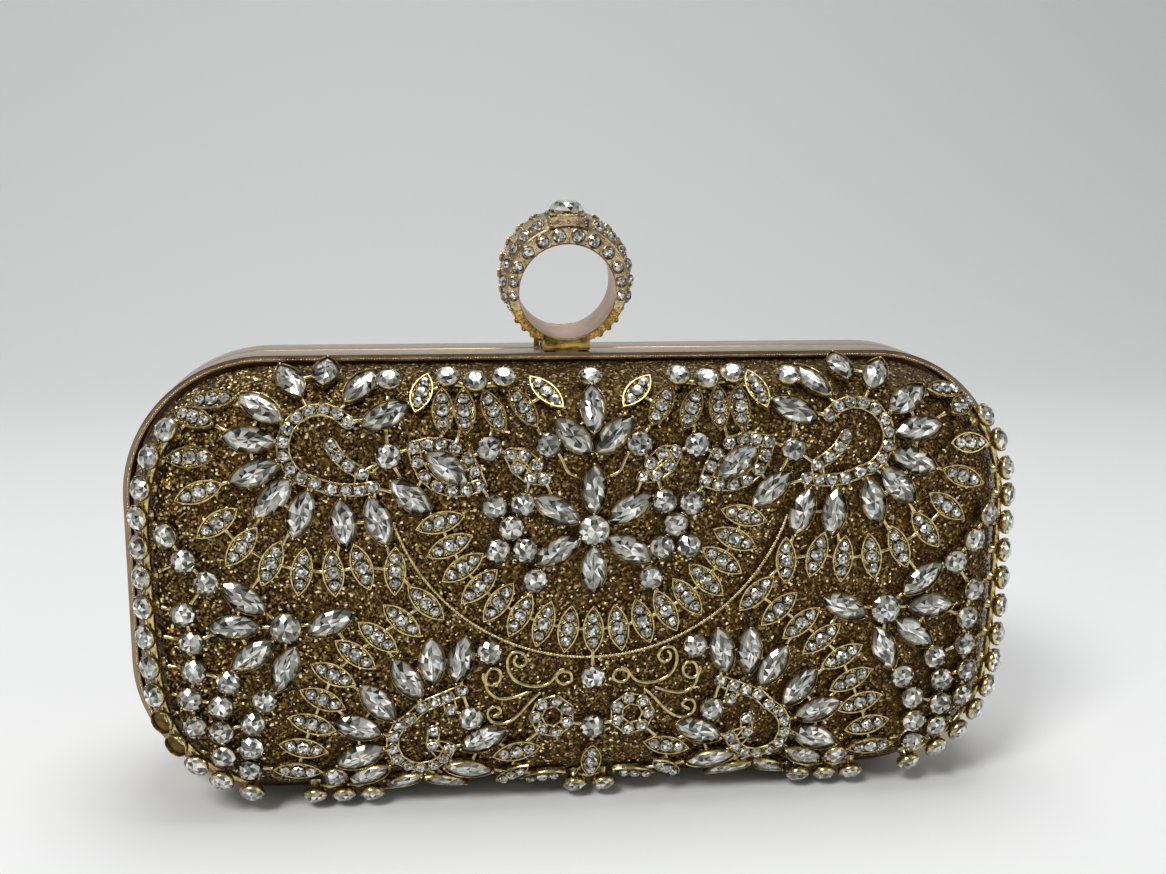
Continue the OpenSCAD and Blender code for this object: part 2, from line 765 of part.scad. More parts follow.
// Round stones of the ring: along the bevels, and along the crown beside the large stone
module ring_stone(turn, lean, r, along, stone_r) {
    at_ring()
        translate([0, 0, ring_rise])
            rotate([0, -turn, 0])
                translate([r, along, 0])
                    rotate([0, 0, lean])
                        rotate([0, upright, 0])
                            translate([0, 0, seat_gap])
                                round_stone(2 * stone_r, stone_r);
}
module on_bevels(turns, stone_r) {
    for (side = [-1, 1])
        for (turn = turns)
            for (place_turn = [turn, 2 * upright - turn])
                ring_stone(place_turn, side * bevel_lean, ring_r - ring_bevel / 2,
                    side * (ring_half - ring_bevel / 2), stone_r);
}
module ring_bevel_stones() {
    color("white") on_bevels(bevel_turns, bevel_stone_r);
}
module ring_crown_stones() {
    color("white")
        for (row_share = crown_row_shares)
            for (turn = crown_turns)
                for (place_turn = [turn, 2 * upright - turn])
                    ring_stone(place_turn, 0, ring_r, row_share * ring_top_half, crown_stone_r);
}
module ring_beads() {
    color("gold") on_bevels(bead_turns, ring_bead_r);
}

// The cup of the large stone, on the ring's crown
module ring_bezel() {
    d = solitaire_d + 2 * bezel_wall;
    color("gold") at_ring()
        translate([0, 0, ring_rise + ring_r + seat_gap])
            rotate_extrude($fn = 48)
                polygon([
                    [0, 0], [d / 2 * bezel_foot_share, 0], [d / 2, bezel_h],
                    [d / 2 - bezel_wall, bezel_h], [d / 2 * bezel_foot_share - bezel_wall, bezel_wall],
                    [0, bezel_wall]
                ]);
}
module ring_solitaire() {
    foot_r = solitaire_d / 2 * bezel_foot_share;
    color("white") at_ring()
        translate([0, 0, ring_rise + ring_r + bezel_wall + 3 * seat_gap])
            rotate_extrude($fn = 48)
                polygon([
                    [0, 0], [foot_r - bezel_wall, 0], [solitaire_d / 2 - 3 * seat_gap, bezel_h - bezel_wall],
                    [solitaire_d / 2 * solitaire_table_share, bezel_h - bezel_wall + solitaire_rise],
                    [0, bezel_h - bezel_wall + solitaire_rise]
                ]);
}

// Castings
module stem_cup() {
    cylinder(r = stem_r, h = stem_h + cup_floor_share * cup_h / 2);
    translate([0, 0, stem_h]) cup(cup_d, cup_h);
}
module edge_cups() {
    color("palegoldenrod")
        both_sides(concat(edge_shares, top_shares, bottom_shares), edge_reach) stem_cup();
}
module round_cups() {
    color("palegoldenrod") {
        both_sides(round_shares, cup_reach) cup(cup_d, cup_h);
        on_middle(middle_shares, cup_reach) cup(cup_d, cup_h);
    }
}
module flower_cups() {
    color("palegoldenrod") {
        both_sides(flower_shares, cup_reach) cup(centre_d, cup_h);
        on_middle(middle_flower_shares, cup_reach) cup(centre_d, cup_h);
    }
}
module petal_setting() {
    linear_extrude(petal_h)
        difference() {
            pointed(petal_len, petal_w);
            pointed(petal_len - 2 * lip_t * petal_len / petal_w, petal_w - 2 * lip_t);
        }
}
module petal_settings() {
    color("palegoldenrod") {
        both_sides(petal_places, petal_h) petal_setting();
        on_middle(middle_petal_shares, petal_h) petal_setting();
    }
}
module leaf_setting() {
    difference() {
        linear_extrude(leaf_h) pointed(leaf_len, leaf_blade_w);
        for (k = [-1:1])
            translate([k * leaf_stone_pitch, 0, leaf_h / 2])
                cylinder(r = leaf_seat_r(k), h = leaf_h);
    }
}
function leaf_seat_r(k) = leaf_stone_r * (k == 0 ? 1 : leaf_end_share) + seat_gap;
module leaf_settings() {
    color("palegoldenrod") {
        both_sides(leaf_places, leaf_h) leaf_setting();
        on_middle(middle_leaf_places, leaf_h) leaf_setting();
    }
}
module pave_cups() {
    color("palegoldenrod") both_sides(pave_places, bead_h) cup(bead_d, bead_h, bead_lip_t);
}
module arc_wire() {
    middle = place(arc_share, 1);
    color("palegoldenrod")
        surface_wire(
            [for (i = [0:arc_steps])
                let (turn = arc_sweep * (2 * i / arc_steps - 1) - upright)
                [middle.x + arc_reach_share * cos(turn) * case_w / grid_columns,
                    middle.y + arc_reach_share * sin(turn) * case_h / grid_rows]]
        );
}
module scroll_wires() {
    color("palegoldenrod")
        for (side = [-1, 1])
            for (points = wire_shares)
                surface_wire(smooth([for (p = points) place(p, side)]));
}

// Stones: each stands on the floor of its cup
module cup_stone(d) {
    floor_h = cup_h * cup_floor_share;
    translate([0, 0, floor_h + seat_gap])
        round_stone(d - 2 * lip_t - 2 * seat_gap, cup_h - floor_h + d * stone_crown_share / 2);
}
module edge_stones() {
    color("white") {
        for (side = [-1, 1])
            for (i = [0:len(edge_shares) - 1])
                if (side == 1 || len(search(i, empty_left_cups)) == 0)
                    on_front(place(edge_shares[i], side), edge_reach)
                        translate([0, 0, stem_h]) cup_stone(cup_d);
        both_sides(concat(top_shares, bottom_shares), edge_reach)
            translate([0, 0, stem_h]) cup_stone(cup_d);
    }
}
module round_stones() {
    color("white") {
        both_sides(round_shares, cup_reach) cup_stone(cup_d);
        on_middle(middle_shares, cup_reach) cup_stone(cup_d);
    }
}
module flower_stones() {
    color("white") {
        both_sides(flower_shares, cup_reach) cup_stone(centre_d);
        on_middle(middle_flower_shares, cup_reach) cup_stone(centre_d);
    }
}
module petal_stone() {
    l = petal_len - 2 * (lip_t + seat_gap) * petal_len / petal_w;
    translate([0, 0, 2 * seat_gap])
        pointed_stone(l, petal_w - 2 * (lip_t + seat_gap), petal_h + stone_sink);
}
module petal_stones() {
    color("white") {
        both_sides(petal_places, petal_h) petal_stone();
        on_middle(middle_petal_shares, petal_h) petal_stone();
    }
}
module leaf_stone_row() {
    for (k = [-1:1])
        translate([k * leaf_stone_pitch, 0, leaf_h / 2 + seat_gap])
            round_stone(2 * (leaf_seat_r(k) - seat_gap), leaf_h);
}
module leaf_stones() {
    color("white") {
        both_sides(leaf_places, leaf_h) leaf_stone_row();
        on_middle(middle_leaf_places, leaf_h) leaf_stone_row();
    }
}
module pave_stones() {
    color("white")
        both_sides(pave_places, bead_h)
            translate([0, 0, bead_h * cup_floor_share + seat_gap])
                round_stone(bead_d - 2 * bead_lip_t - 2 * seat_gap, bead_h);
}

back_frame();
back_panel();
back_cover();
back_lining();
back_hinge_leaf();
hinge_pin();
clasp_lugs();
clasp_pin();
front_frame();
front_panel();
front_cover();
front_lining();
front_hinge_leaf();
catch_plate();
edge_cups();
round_cups();
flower_cups();
petal_settings();
leaf_settings();
pave_cups();
arc_wire();
scroll_wires();
edge_stones();
round_stones();
flower_stones();
petal_stones();
leaf_stones();
pave_stones();
saddle();
finger_ring();
ring_bevel_stones();
ring_crown_stones();
ring_beads();
ring_bezel();
ring_solitaire();
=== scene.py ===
import math
import random
from itertools import combinations

import bmesh
import bpy
from mathutils import Matrix, Vector


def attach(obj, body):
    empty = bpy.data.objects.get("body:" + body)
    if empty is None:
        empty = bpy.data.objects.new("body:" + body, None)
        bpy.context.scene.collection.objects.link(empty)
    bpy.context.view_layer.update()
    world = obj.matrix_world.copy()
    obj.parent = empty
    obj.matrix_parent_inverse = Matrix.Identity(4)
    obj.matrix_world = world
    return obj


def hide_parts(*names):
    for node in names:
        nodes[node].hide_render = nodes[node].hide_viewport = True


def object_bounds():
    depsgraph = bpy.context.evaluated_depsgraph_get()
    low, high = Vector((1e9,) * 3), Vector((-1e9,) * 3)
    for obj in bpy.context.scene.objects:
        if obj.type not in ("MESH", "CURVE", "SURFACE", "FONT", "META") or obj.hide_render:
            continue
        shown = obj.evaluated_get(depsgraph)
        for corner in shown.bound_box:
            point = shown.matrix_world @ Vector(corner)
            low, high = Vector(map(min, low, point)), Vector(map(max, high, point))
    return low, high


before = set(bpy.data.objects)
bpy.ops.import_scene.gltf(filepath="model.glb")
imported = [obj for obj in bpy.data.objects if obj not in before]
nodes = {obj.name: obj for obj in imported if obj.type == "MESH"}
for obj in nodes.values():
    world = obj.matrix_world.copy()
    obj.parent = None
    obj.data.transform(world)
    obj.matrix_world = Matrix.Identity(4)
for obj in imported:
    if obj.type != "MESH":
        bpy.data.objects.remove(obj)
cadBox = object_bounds()
print("stage 1: frame loaded")

mm = 0.001
caseMiddle = Vector((0, 0, 44.5 * mm))
backDepth = cadBox[1].y


def axesMatrix(*axes):
    return Matrix(axes).transposed().to_4x4()


def linkedObject(name, data):
    item = bpy.data.objects.new(name, data)
    bpy.context.collection.objects.link(item)
    return item


def meshFrom(bm, name):
    mesh = bpy.data.meshes.new(name)
    bm.to_mesh(mesh)
    bm.free()
    return mesh


# camera

cameraSettings = {
    "place": (-31.4 * mm, -282.7 * mm, 125.1 * mm),
    "yaw": 6.79,        # degrees, looking a little towards the right
    "pitch": 10.9,      # degrees, looking down
    "roll": 0.32,
    "lens": 43.2,
    "sensor": 36,
    "nearest": 10 * mm,
}


def makeCamera(settings):
    yaw, pitch, roll = (math.radians(settings[name]) for name in ("yaw", "pitch", "roll"))
    ahead = Vector((math.sin(yaw) * math.cos(pitch), math.cos(yaw) * math.cos(pitch), -math.sin(pitch)))
    level = ahead.cross(Vector((0, 0, 1))).normalized()
    above = level.cross(ahead)
    right = level * math.cos(roll) + above * math.sin(roll)
    up = above * math.cos(roll) - level * math.sin(roll)
    data = bpy.data.cameras.new("camera")
    data.lens = settings["lens"]
    data.sensor_width = settings["sensor"]
    data.sensor_fit = "HORIZONTAL"
    data.clip_start = settings["nearest"]
    camera = linkedObject("camera", data)
    camera.matrix_world = Matrix.Translation(settings["place"]) @ axesMatrix(right, up, -ahead)
    bpy.context.scene.camera = camera


# materials

def newMaterial(name):
    material = bpy.data.materials.new(name)
    material.use_nodes = True
    tree = material.node_tree
    return material, tree, tree.nodes["Principled BSDF"]


def dressShader(tree, shader, tone, finish):
    tree.links.new(tone, shader.inputs["Base Color"])
    for socket, value in finish.items():
        shader.inputs[socket].default_value = value


def objectCoordinates(tree):
    return tree.nodes.new("ShaderNodeTexCoord").outputs["Object"]


def colourRamp(tree, value, stops, constant=False):
    ramp = tree.nodes.new("ShaderNodeValToRGB")
    if constant:
        ramp.color_ramp.interpolation = "CONSTANT"
    elements = ramp.color_ramp.elements
    while len(elements) < len(stops):
        elements.new(0.5)
    for element, (place, colour) in zip(elements, stops):
        element.position = place
        element.color = (*colour, 1)
    tree.links.new(value, ramp.inputs["Fac"])
    return ramp.outputs["Color"]


def spread(tree, value, low, high):
    node = tree.nodes.new("ShaderNodeMapRange")
    node.inputs["To Min"].default_value = low
    node.inputs["To Max"].default_value = high
    tree.links.new(value, node.inputs["Value"])
    return node.outputs["Result"]


def noise(tree, scale):
    node = tree.nodes.new("ShaderNodeTexNoise")
    node.inputs["Scale"].default_value = scale
    node.inputs["Detail"].default_value = 3
    tree.links.new(objectCoordinates(tree), node.inputs["Vector"])
    return node.outputs["Fac"]


def addBump(tree, shader, height, strength, distance=0.05 * mm):
    bump = tree.nodes.new("ShaderNodeBump")
    bump.inputs["Strength"].default_value = strength
    bump.inputs["Distance"].default_value = distance
    tree.links.new(height, bump.inputs["Height"])
    tree.links.new(bump.outputs["Normal"], shader.inputs["Normal"])


metals = {      # dark tone, light tone, roughness from and to, grains a metre, bump
    "frameBand": ((0.50, 0.375, 0.25), (0.56, 0.425, 0.285), (0.24, 0.28), 120, 0.06),
    # painted shade: a darker copy of the band metal for the front band's front face
    "frameLipShade": ((0.24, 0.165, 0.10), (0.31, 0.215, 0.14), (0.22, 0.28), 400, 0.06),
    "hingeBrass": ((0.42, 0.30, 0.15), (0.70, 0.54, 0.32), (0.25, 0.42), 700, 0.06),
    "pinSteel": ((0.40, 0.40, 0.40), (0.62, 0.61, 0.60), (0.2, 0.35), 900, 0.06),
    "panelBrass": ((0.36, 0.25, 0.13), (0.58, 0.43, 0.25), (0.35, 0.5), 300, 0.06),
    "castGold": ((0.26, 0.18, 0.06), (0.70, 0.575, 0.29), (0.16, 0.3), 1200, 0.08),
    # painted shade for hollows, the insides of cups and the gaps round stones
    "castShade": ((0.05, 0.03, 0.01), (0.22, 0.14, 0.05), (0.3, 0.5), 900, 0.06),
    "ringRose": ((0.24, 0.16, 0.085), (0.60, 0.455, 0.285), (0.16, 0.32), 1100, 0.35),
    # painted shadow under the large stone's cup
    "ringShade": ((0.04, 0.028, 0.014), (0.17, 0.125, 0.07), (0.2, 0.4), 1100, 0.35),
    "ringInside": ((0.56, 0.43, 0.34), (0.70, 0.56, 0.46), (0.45, 0.6), 200, 0.06),
    "scrollGold": ((0.32, 0.23, 0.08), (0.64, 0.53, 0.26), (0.14, 0.24), 900, 0.06),
    "saddleGold": ((0.13, 0.065, 0.012), (0.58, 0.37, 0.10), (0.12, 0.28), 700, 0.06),
}
metalStops = (0.3, 0.62)    # noise under the first is dark, over the second light


def makeMetal(name, dark, light, rough, grain, bump):
    material, tree, shader = newMaterial(name)
    cloud = noise(tree, grain)
    tone = colourRamp(tree, cloud, list(zip(metalStops, (dark, light))))
    dressShader(tree, shader, tone, {"Metallic": 1})
    tree.links.new(spread(tree, cloud, *rough), shader.inputs["Roughness"])
    addBump(tree, shader, cloud, bump)
    return material


glitterSettings = {
    "flake": 2600,      # flakes a metre
    "flecks": [
        (0.0, (0.026, 0.013, 0.002)), (0.38, (0.072, 0.038, 0.006)), (0.62, (0.145, 0.086, 0.018)),
        (0.80, (0.30, 0.20, 0.065)), (0.94, (0.95, 0.80, 0.46)),
    ],
    "rough": (0.18, 0.5),
    "tilt": 0.55,       # how far a flake leans out of the cloth
    "finish": {"Metallic": 0.85},
}


def vectorMath(tree, operation, first, second=None):
    node = tree.nodes.new("ShaderNodeVectorMath")
    node.operation = operation
    tree.links.new(first, node.inputs[0])
    if second is not None:
        tree.links.new(second, node.inputs[1])
    return node


def makeGlitter(name, settings):
    material, tree, shader = newMaterial(name)
    cells = tree.nodes.new("ShaderNodeTexVoronoi")
    cells.inputs["Scale"].default_value = settings["flake"]
    tree.links.new(objectCoordinates(tree), cells.inputs["Vector"])
    parts = tree.nodes.new("ShaderNodeSeparateColor")
    tree.links.new(cells.outputs["Color"], parts.inputs["Color"])
    fleck = colourRamp(tree, parts.outputs["Red"], settings["flecks"], constant=True)
    dressShader(tree, shader, fleck, settings["finish"])
    tree.links.new(spread(tree, parts.outputs["Green"], *settings["rough"]), shader.inputs["Roughness"])
    lean = vectorMath(tree, "SUBTRACT", cells.outputs["Color"])
    lean.inputs[1].default_value = (0.5, 0.5, 0.5)
    scaled = vectorMath(tree, "SCALE", lean.outputs["Vector"])
    scaled.inputs["Scale"].default_value = settings["tilt"] * 2
    face = tree.nodes.new("ShaderNodeNewGeometry")
    total = vectorMath(tree, "ADD", face.outputs["Normal"], scaled.outputs["Vector"])
    unit = vectorMath(tree, "NORMALIZE", total.outputs["Vector"])
    tree.links.new(unit.outputs["Vector"], shader.inputs["Normal"])
    return material


liningSettings = {
    "threads": 1500,    # a metre
    "tones": [(0.35, (0.55, 0.43, 0.29)), (0.65, (0.69, 0.55, 0.38))],
    "bump": 0.2,
    "finish": {"Roughness": 0.55, "Sheen Weight": 0.4},
}


def makeLining(name, settings):
    material, tree, shader = newMaterial(name)
    weave = noise(tree, settings["threads"])
    dressShader(tree, shader, colourRamp(tree, weave, settings["tones"]), settings["finish"])
    addBump(tree, shader, weave, settings["bump"])
    return material


# a facet's tone is a painted reflection, from dark through grey to a bright painted glint, with a painted
# coloured flash near the top
crystalSettings = {
    "tones": [
        (0.0, (0.015, 0.014, 0.010)), (0.16, (0.05, 0.047, 0.035)), (0.34, (0.19, 0.185, 0.155)),
        (0.56, (0.42, 0.412, 0.365)), (0.76, (0.69, 0.685, 0.63)), (0.90, (0.97, 0.965, 0.91)),
        (0.925, (0.92, 0.74, 0.48)), (0.94, (0.52, 0.64, 0.88)), (0.96, (1.0, 1.0, 0.98)),
    ],
    "finish": {"Metallic": 0.62, "Roughness": 0.08, "Coat Weight": 1, "Coat Roughness": 0.02},
}
looseFlakeSettings = {
    "tones": [
        (0.0, (0.028, 0.014, 0.003)), (0.5, (0.11, 0.062, 0.013)), (0.74, (0.29, 0.195, 0.06)),
        (0.9, (0.90, 0.74, 0.42)), (1.0, (1.0, 0.93, 0.70)),
    ],
    "finish": {"Metallic": 1, "Roughness": 0.2},
}


def makeFaceted(name, settings):
    material, tree, shader = newMaterial(name)
    tone = tree.nodes.new("ShaderNodeAttribute")
    tone.attribute_name = "facetTone"
    dressShader(tree, shader, colourRamp(tree, tone.outputs["Fac"], settings["tones"]), settings["finish"])
    return material


materials = {name: makeMetal(name, *look) for name, look in metals.items()}
materials["glitterCloth"] = makeGlitter("glitterCloth", glitterSettings)
materials["lining"] = makeLining("lining", liningSettings)
materials["crystal"] = makeFaceted("crystal", crystalSettings)
materials["flake"] = makeFaceted("flake", looseFlakeSettings)
print("stage 2: materials ready")


# reading the frame: each solid of a node gives its own place

def mergedCopy(nodeName):
    bm = bmesh.new()
    bm.from_mesh(nodes[nodeName].data)
    bmesh.ops.remove_doubles(bm, verts=bm.verts, dist=0.002 * mm)
    return bm


def spreadFrom(start):
    # the points joined to these, ring by ring
    seen = set(start)
    rings = [list(start)]
    while rings[-1]:
        following = []
        for vert in rings[-1]:
            for edge in vert.link_edges:
                other = edge.other_vert(vert)
                if other not in seen:
                    seen.add(other)
                    following.append(other)
        rings.append(following)
    return rings[:-1]


def islandsOf(bm):
    left = set(bm.verts)
    islands = []
    for start in bm.verts:
        if start in left:
            islands.append([vert for ring in spreadFrom([start]) for vert in ring])
            left.difference_update(islands[-1])
    return islands


def placeOf(island, outFrom):
    # the widest flat side gives its upright, the farthest point its length
    middle = sum((vert.co for vert in island), Vector()) / len(island)
    areas = {}
    for face in {face: None for vert in island for face in vert.link_faces}:
        key = tuple(round(part, 2) for part in face.normal)
        total, area = areas.get(key, (Vector(), 0))
        areas[key] = (total + face.normal * face.calc_area(), area + face.calc_area())
    up = max(areas.values(), key=lambda entry: entry[1])[0].normalized()
    if up.dot(middle - outFrom) < 0:
        up = -up
    flat = [vert.co - middle - up * up.dot(vert.co - middle) for vert in island]
    along = max(flat, key=lambda point: point.length).normalized()
    across = up.cross(along)
    spans = []
    for axis in (along, across, up):
        reach = [axis.dot(vert.co - middle) for vert in island]
        spans.append((min(reach), max(reach)))
    base = middle + up * spans[2][0]
    base += along * (spans[0][0] + spans[0][1]) / 2 + across * (spans[1][0] + spans[1][1]) / 2
    long, wide, tall = (high - low for low, high in spans)
    return {
        "base": base, "up": up, "along": along, "across": across,
        "long": long, "wide": wide, "tall": tall,
    }


def partedPlaces(place):
    # two round cups may share one casting, twice as long as it is wide
    if place["long"] < place["wide"] * 1.5:
        return [place]
    aside = place["along"] * (place["long"] - place["wide"]) / 2
    return [{**place, "base": place["base"] + aside * way, "long": place["wide"]} for way in (-1, 1)]


foundPlaces = {}


def placesOf(nodeName, outFrom=caseMiddle):
    if nodeName not in foundPlaces:
        bm = mergedCopy(nodeName)
        found = [placeOf(island, outFrom) for island in islandsOf(bm)]
        bm.free()
        if nodeName == "round_cups":
            found = [part for place in found for part in partedPlaces(place)]
        found.sort(key=lambda place: (round(place["base"].z, 5), round(place["base"].x, 5)))
        foundPlaces[nodeName] = found
    return foundPlaces[nodeName]


def matrixAt(place, lift=0, spin=0):
    turn = axesMatrix(place["along"], place["across"], place["up"])
    return Matrix.Translation(place["base"] + place["up"] * lift) @ turn @ Matrix.Rotation(spin, 4, "Z")


# joining pieces

def finishPiece(name, bm, materialNames, body, slotName, replaced=(), sharp=None):
    # with a sharp angle the faces are smooth, and only edges past it stay hard
    if sharp is not None:
        for face in bm.faces:
            face.smooth = True
        for edge in bm.edges:
            edge.smooth = edge.calc_face_angle(0) < sharp
    piece = linkedObject(name, meshFrom(bm, name))
    for materialName in materialNames:
        piece.data.materials.append(materials[materialName])
    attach(piece, body)
    if replaced:
        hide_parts(*replaced)
    return piece


def asTemplate(bm, name="template"):
    bmesh.ops.recalc_face_normals(bm, faces=bm.faces)
    return meshFrom(bm, name)


def stamp(bm, template, matrix=Matrix.Identity(4)):
    copy = template.copy()
    copy.transform(matrix)
    bm.from_mesh(copy)
    bpy.data.meshes.remove(copy)


def beadTemplate(detail):
    bm = bmesh.new()
    bmesh.ops.create_icosphere(bm, subdivisions=detail, radius=1)
    return asTemplate(bm)


def spunShape(profile, sides):
    bm = bmesh.new()
    verts = [bm.verts.new((reach, 0, height)) for reach, height in profile]
    edges = [bm.edges.new(pair) for pair in zip(verts, verts[1:])]
    bmesh.ops.spin(bm, geom=verts + edges, cent=(0, 0, 0), axis=(0, 0, 1), angle=math.tau,
                   steps=sides, use_merge=True)
    bmesh.ops.remove_doubles(bm, verts=bm.verts, dist=0.001 * mm)
    bmesh.ops.recalc_face_normals(bm, faces=bm.faces)
    return bm


# a cast bar swells towards both ends
barProfile = [(0, -0.5), (1.35, -0.5), (1.08, -0.3), (0.9, 0), (1.08, 0.3), (1.35, 0.5), (0, 0.5)]
templates = {
    "bead": beadTemplate(1),
    "roundBead": beadTemplate(2),
    "bar": asTemplate(spunShape(barProfile, 7)),
}


def addBead(bm, place, radius, kind="bead"):
    stamp(bm, templates[kind], Matrix.Translation(place) @ Matrix.Scale(radius, 4))


def addBar(bm, start, end, radius):
    run = end - start
    turn = run.to_track_quat("Z", "Y").to_matrix().to_4x4()
    size = Matrix.Diagonal((radius, radius, run.length, 1))
    stamp(bm, templates["bar"], Matrix.Translation((start + end) / 2) @ turn @ size)


# a rim is drawn flat and then grown row by row

def pointedRim(bm, length, width, steps):
    bow = (length ** 2 + width ** 2) / (4 * width)
    sweep = 2 * math.asin(length / 2 / bow)
    for side in (1, -1):
        tip = bm.verts.new((side * length / 2, 0, 0))
        bmesh.ops.spin(bm, geom=[tip], cent=(0, side * (width / 2 - bow), 0), axis=(0, 0, 1),
                       angle=sweep, steps=steps)
    bmesh.ops.remove_doubles(bm, verts=bm.verts, dist=0.01 * mm)


def partsOf(geometry, kind):
    return [part for part in geometry if isinstance(part, kind)]


def extrudeRim(bm, rim, matrix):
    grown = bmesh.ops.extrude_edge_only(bm, edges=rim)["geom"]
    verts = partsOf(grown, bmesh.types.BMVert)
    fresh = set(verts)
    bmesh.ops.transform(bm, matrix=matrix, verts=verts)
    edges = [edge for edge in partsOf(grown, bmesh.types.BMEdge) if fresh.issuperset(edge.verts)]
    return edges, partsOf(grown, bmesh.types.BMFace)


def capRim(bm, rim, kind=0, peak=None):
    face = bmesh.ops.contextual_create(bm, geom=rim)["faces"][0]
    face.material_index = kind
    if peak is not None:
        bmesh.ops.poke(bm, faces=[face])["verts"][0].co.z = peak


def growRows(bm, rows, tall, twist=0, hollowFrom=99, peaked=False):
    # a row is its size along, its size across and its share of the height
    rim = start = bm.edges[:]
    along, across, height = 1, 1, 0
    for number, (nextAlong, nextAcross, share) in enumerate(rows):
        size = Matrix.Diagonal((nextAlong / along, nextAcross / across, 1, 1))
        lift = Matrix.Translation((0, 0, tall * share - height))
        turn = Matrix.Rotation(twist if number > 1 else 0, 4, "Z")      # above the girdle
        if number:
            rim, walls = extrudeRim(bm, rim, lift @ turn @ size)
            # walls from hollowFrom on, and the floor after them, get painted shade, the second material
            for wall in walls:
                wall.material_index = int(number >= hollowFrom)
        else:
            bmesh.ops.transform(bm, matrix=lift @ turn @ size, verts=bm.verts[:])
        along, across, height = nextAlong, nextAcross, tall * share
    capRim(bm, start)
    capRim(bm, rim, int(len(rows) > hollowFrom), tall if peaked else None)


# cut crystals: each stands on its flat back and is made at its own size

roundCut = {"back": 0.88, "shoulder": 1.04, "tableAt": 0.98}
pointedCut = [(0.92, 0.9, 0), (1, 1, 0.45), (0.72, 0.66, 0.84), (0.46, 0.3, 0.98)]


def cutFacets(bm, rows, tall, twist=0):
    growRows(bm, rows, tall, twist, peaked=True)
    bmesh.ops.triangulate(bm, faces=bm.faces, quad_method="ALTERNATE")
    return bm


def roundCrystal(radius, tall, sides, table=0.5, girdle=0.45):
    bm = bmesh.new()
    bmesh.ops.create_circle(bm, segments=sides, radius=radius)
    back = roundCut["back"]
    middle = (table + 1) / 2 * roundCut["shoulder"]
    rows = [
        (back, back, 0), (1, 1, girdle),
        (middle, middle, (girdle + 1) / 2), (table, table, roundCut["tableAt"]),
    ]
    return cutFacets(bm, rows, tall, math.pi / sides)


def pointedCrystal(length, width, tall, steps):
    bm = bmesh.new()
    pointedRim(bm, length, width, steps)
    return cutFacets(bm, pointedCut, tall)


def toneFacets(piece, seed, mood, shades=0.29):
    # drawn in order of place, so that every run gives a facet the same tone
    dice = random.Random(seed)
    tones = piece.data.attributes.new("facetTone", "FLOAT", "FACE")
    order = sorted(piece.data.polygons, key=lambda polygon: [round(part, 7) for part in polygon.center])
    for polygon in order:
        tones.data[polygon.index].value = min(1, max(0, dice.gauss(mood, shades)))


stoneSettings = {       # the lift is in mm, the mood is the mean tone of the painted facet reflections
    "edge_stones": {"sides": 10, "grow": 1.13, "lift": 0.08, "mood": 0.46},
    "round_stones": {"sides": 10, "grow": 1.13, "lift": 0.05, "mood": 0.43},
    "flower_stones": {"sides": 12, "grow": 1.1, "lift": 0, "mood": 0.45},
    "petal_stones": {"sides": 6, "grow": 1.31, "lift": 0.05, "mood": 0.46},
    "leaf_stones": {"sides": 8, "grow": 1.4, "lift": 0.24, "mood": 0.47},
    "pave_stones": {"sides": 7, "grow": 1.27, "lift": 0.22, "mood": 0.47},
}


def makeStones():
    dice = random.Random(4)
    for number, (nodeName, settings) in enumerate(stoneSettings.items()):
        pointed = nodeName == "petal_stones"
        units = {}
        bm = bmesh.new()
        for place in placesOf(nodeName):
            key = round(place["long"] / mm, 1)
            spin = dice.uniform(0, math.tau)
            if key not in units:
                long, wide = place["long"] * settings["grow"], place["wide"] * settings["grow"]
                if pointed:
                    shape = pointedCrystal(long, wide, place["tall"], settings["sides"])
                else:
                    shape = roundCrystal(long / 2, place["tall"], settings["sides"])
                units[key] = asTemplate(shape)
            stamp(bm, units[key], matrixAt(place, settings["lift"] * mm, 0 if pointed else spin))
        piece = finishPiece("cut_" + nodeName, bm, ["crystal"], "front", "crystal", [nodeName])
        toneFacets(piece, number, settings["mood"])


# cast settings: thin cups, petals and leaves, each at the size of its solid

cupProfile = {
    "stem": [(0.55, 0), (0.42, 0.5), (0.5, 1)],         # shares of the radius and of the stem's height
    "outside": [(0.8, 0.12), (0.98, 0.5), (1, 0.9)],    # shares of the radius and of the cup's height
    "lip": [(0.5, 1), (1, 0.93), (1.2, 0.45)],          # walls inwards, and shares of the cup's height
    "inside": [(0.5, 0.2), (0, 0.14)],
}
clawSettings = {"radius": 0.2 * mm, "sink": 0.02 * mm, "inset": 1.1}


def cupShape(radius, tall, stem, sides, claws, wall=0.2 * mm):
    foot = tall * stem
    cup = tall - foot
    stemRows = cupProfile["stem"] if stem else cupProfile["stem"][:1]
    profile = [(0, 0)] + [(radius * reach, foot * height) for reach, height in stemRows]
    profile += [(radius * reach, foot + cup * height) for reach, height in cupProfile["outside"]]
    profile += [(radius - wall * walls, foot + cup * height) for walls, height in cupProfile["lip"]]
    profile += [(radius * reach, foot + cup * height) for reach, height in cupProfile["inside"]]
    bm = spunShape(profile, sides)
    for face in bm.faces:
        middle = face.calc_center_median()
        within = math.hypot(middle.x, middle.y) < radius - wall * 0.9 and middle.z > foot
        if within and face.normal.z > -0.1 and face.normal.dot(middle) < face.normal.z * tall:
            face.material_index = 1     # the hollow gets painted shade, a darker metal
    reach = radius - wall * clawSettings["inset"]
    for step in range(claws):
        turn = math.tau * (step + 0.5) / claws
        claw = (reach * math.cos(turn), reach * math.sin(turn), tall - clawSettings["sink"])
        addBead(bm, claw, clawSettings["radius"])
    return bm


petalSettings = {
    "rows": [
        (0.94, 0.9, 0), (0.99, 0.985, 0.35), (1, 1, 0.8),
        (0.982, 0.965, 1), (0.962, 0.93, 0.92), (0.95, 0.91, 0.4),
    ],
    "steps": 10,
    "hollowFrom": 5,    # from this row on the hollow gets painted shade, a darker metal
    "claw": 0.27 * mm,
    "clawInset": 0.42 * mm,
}


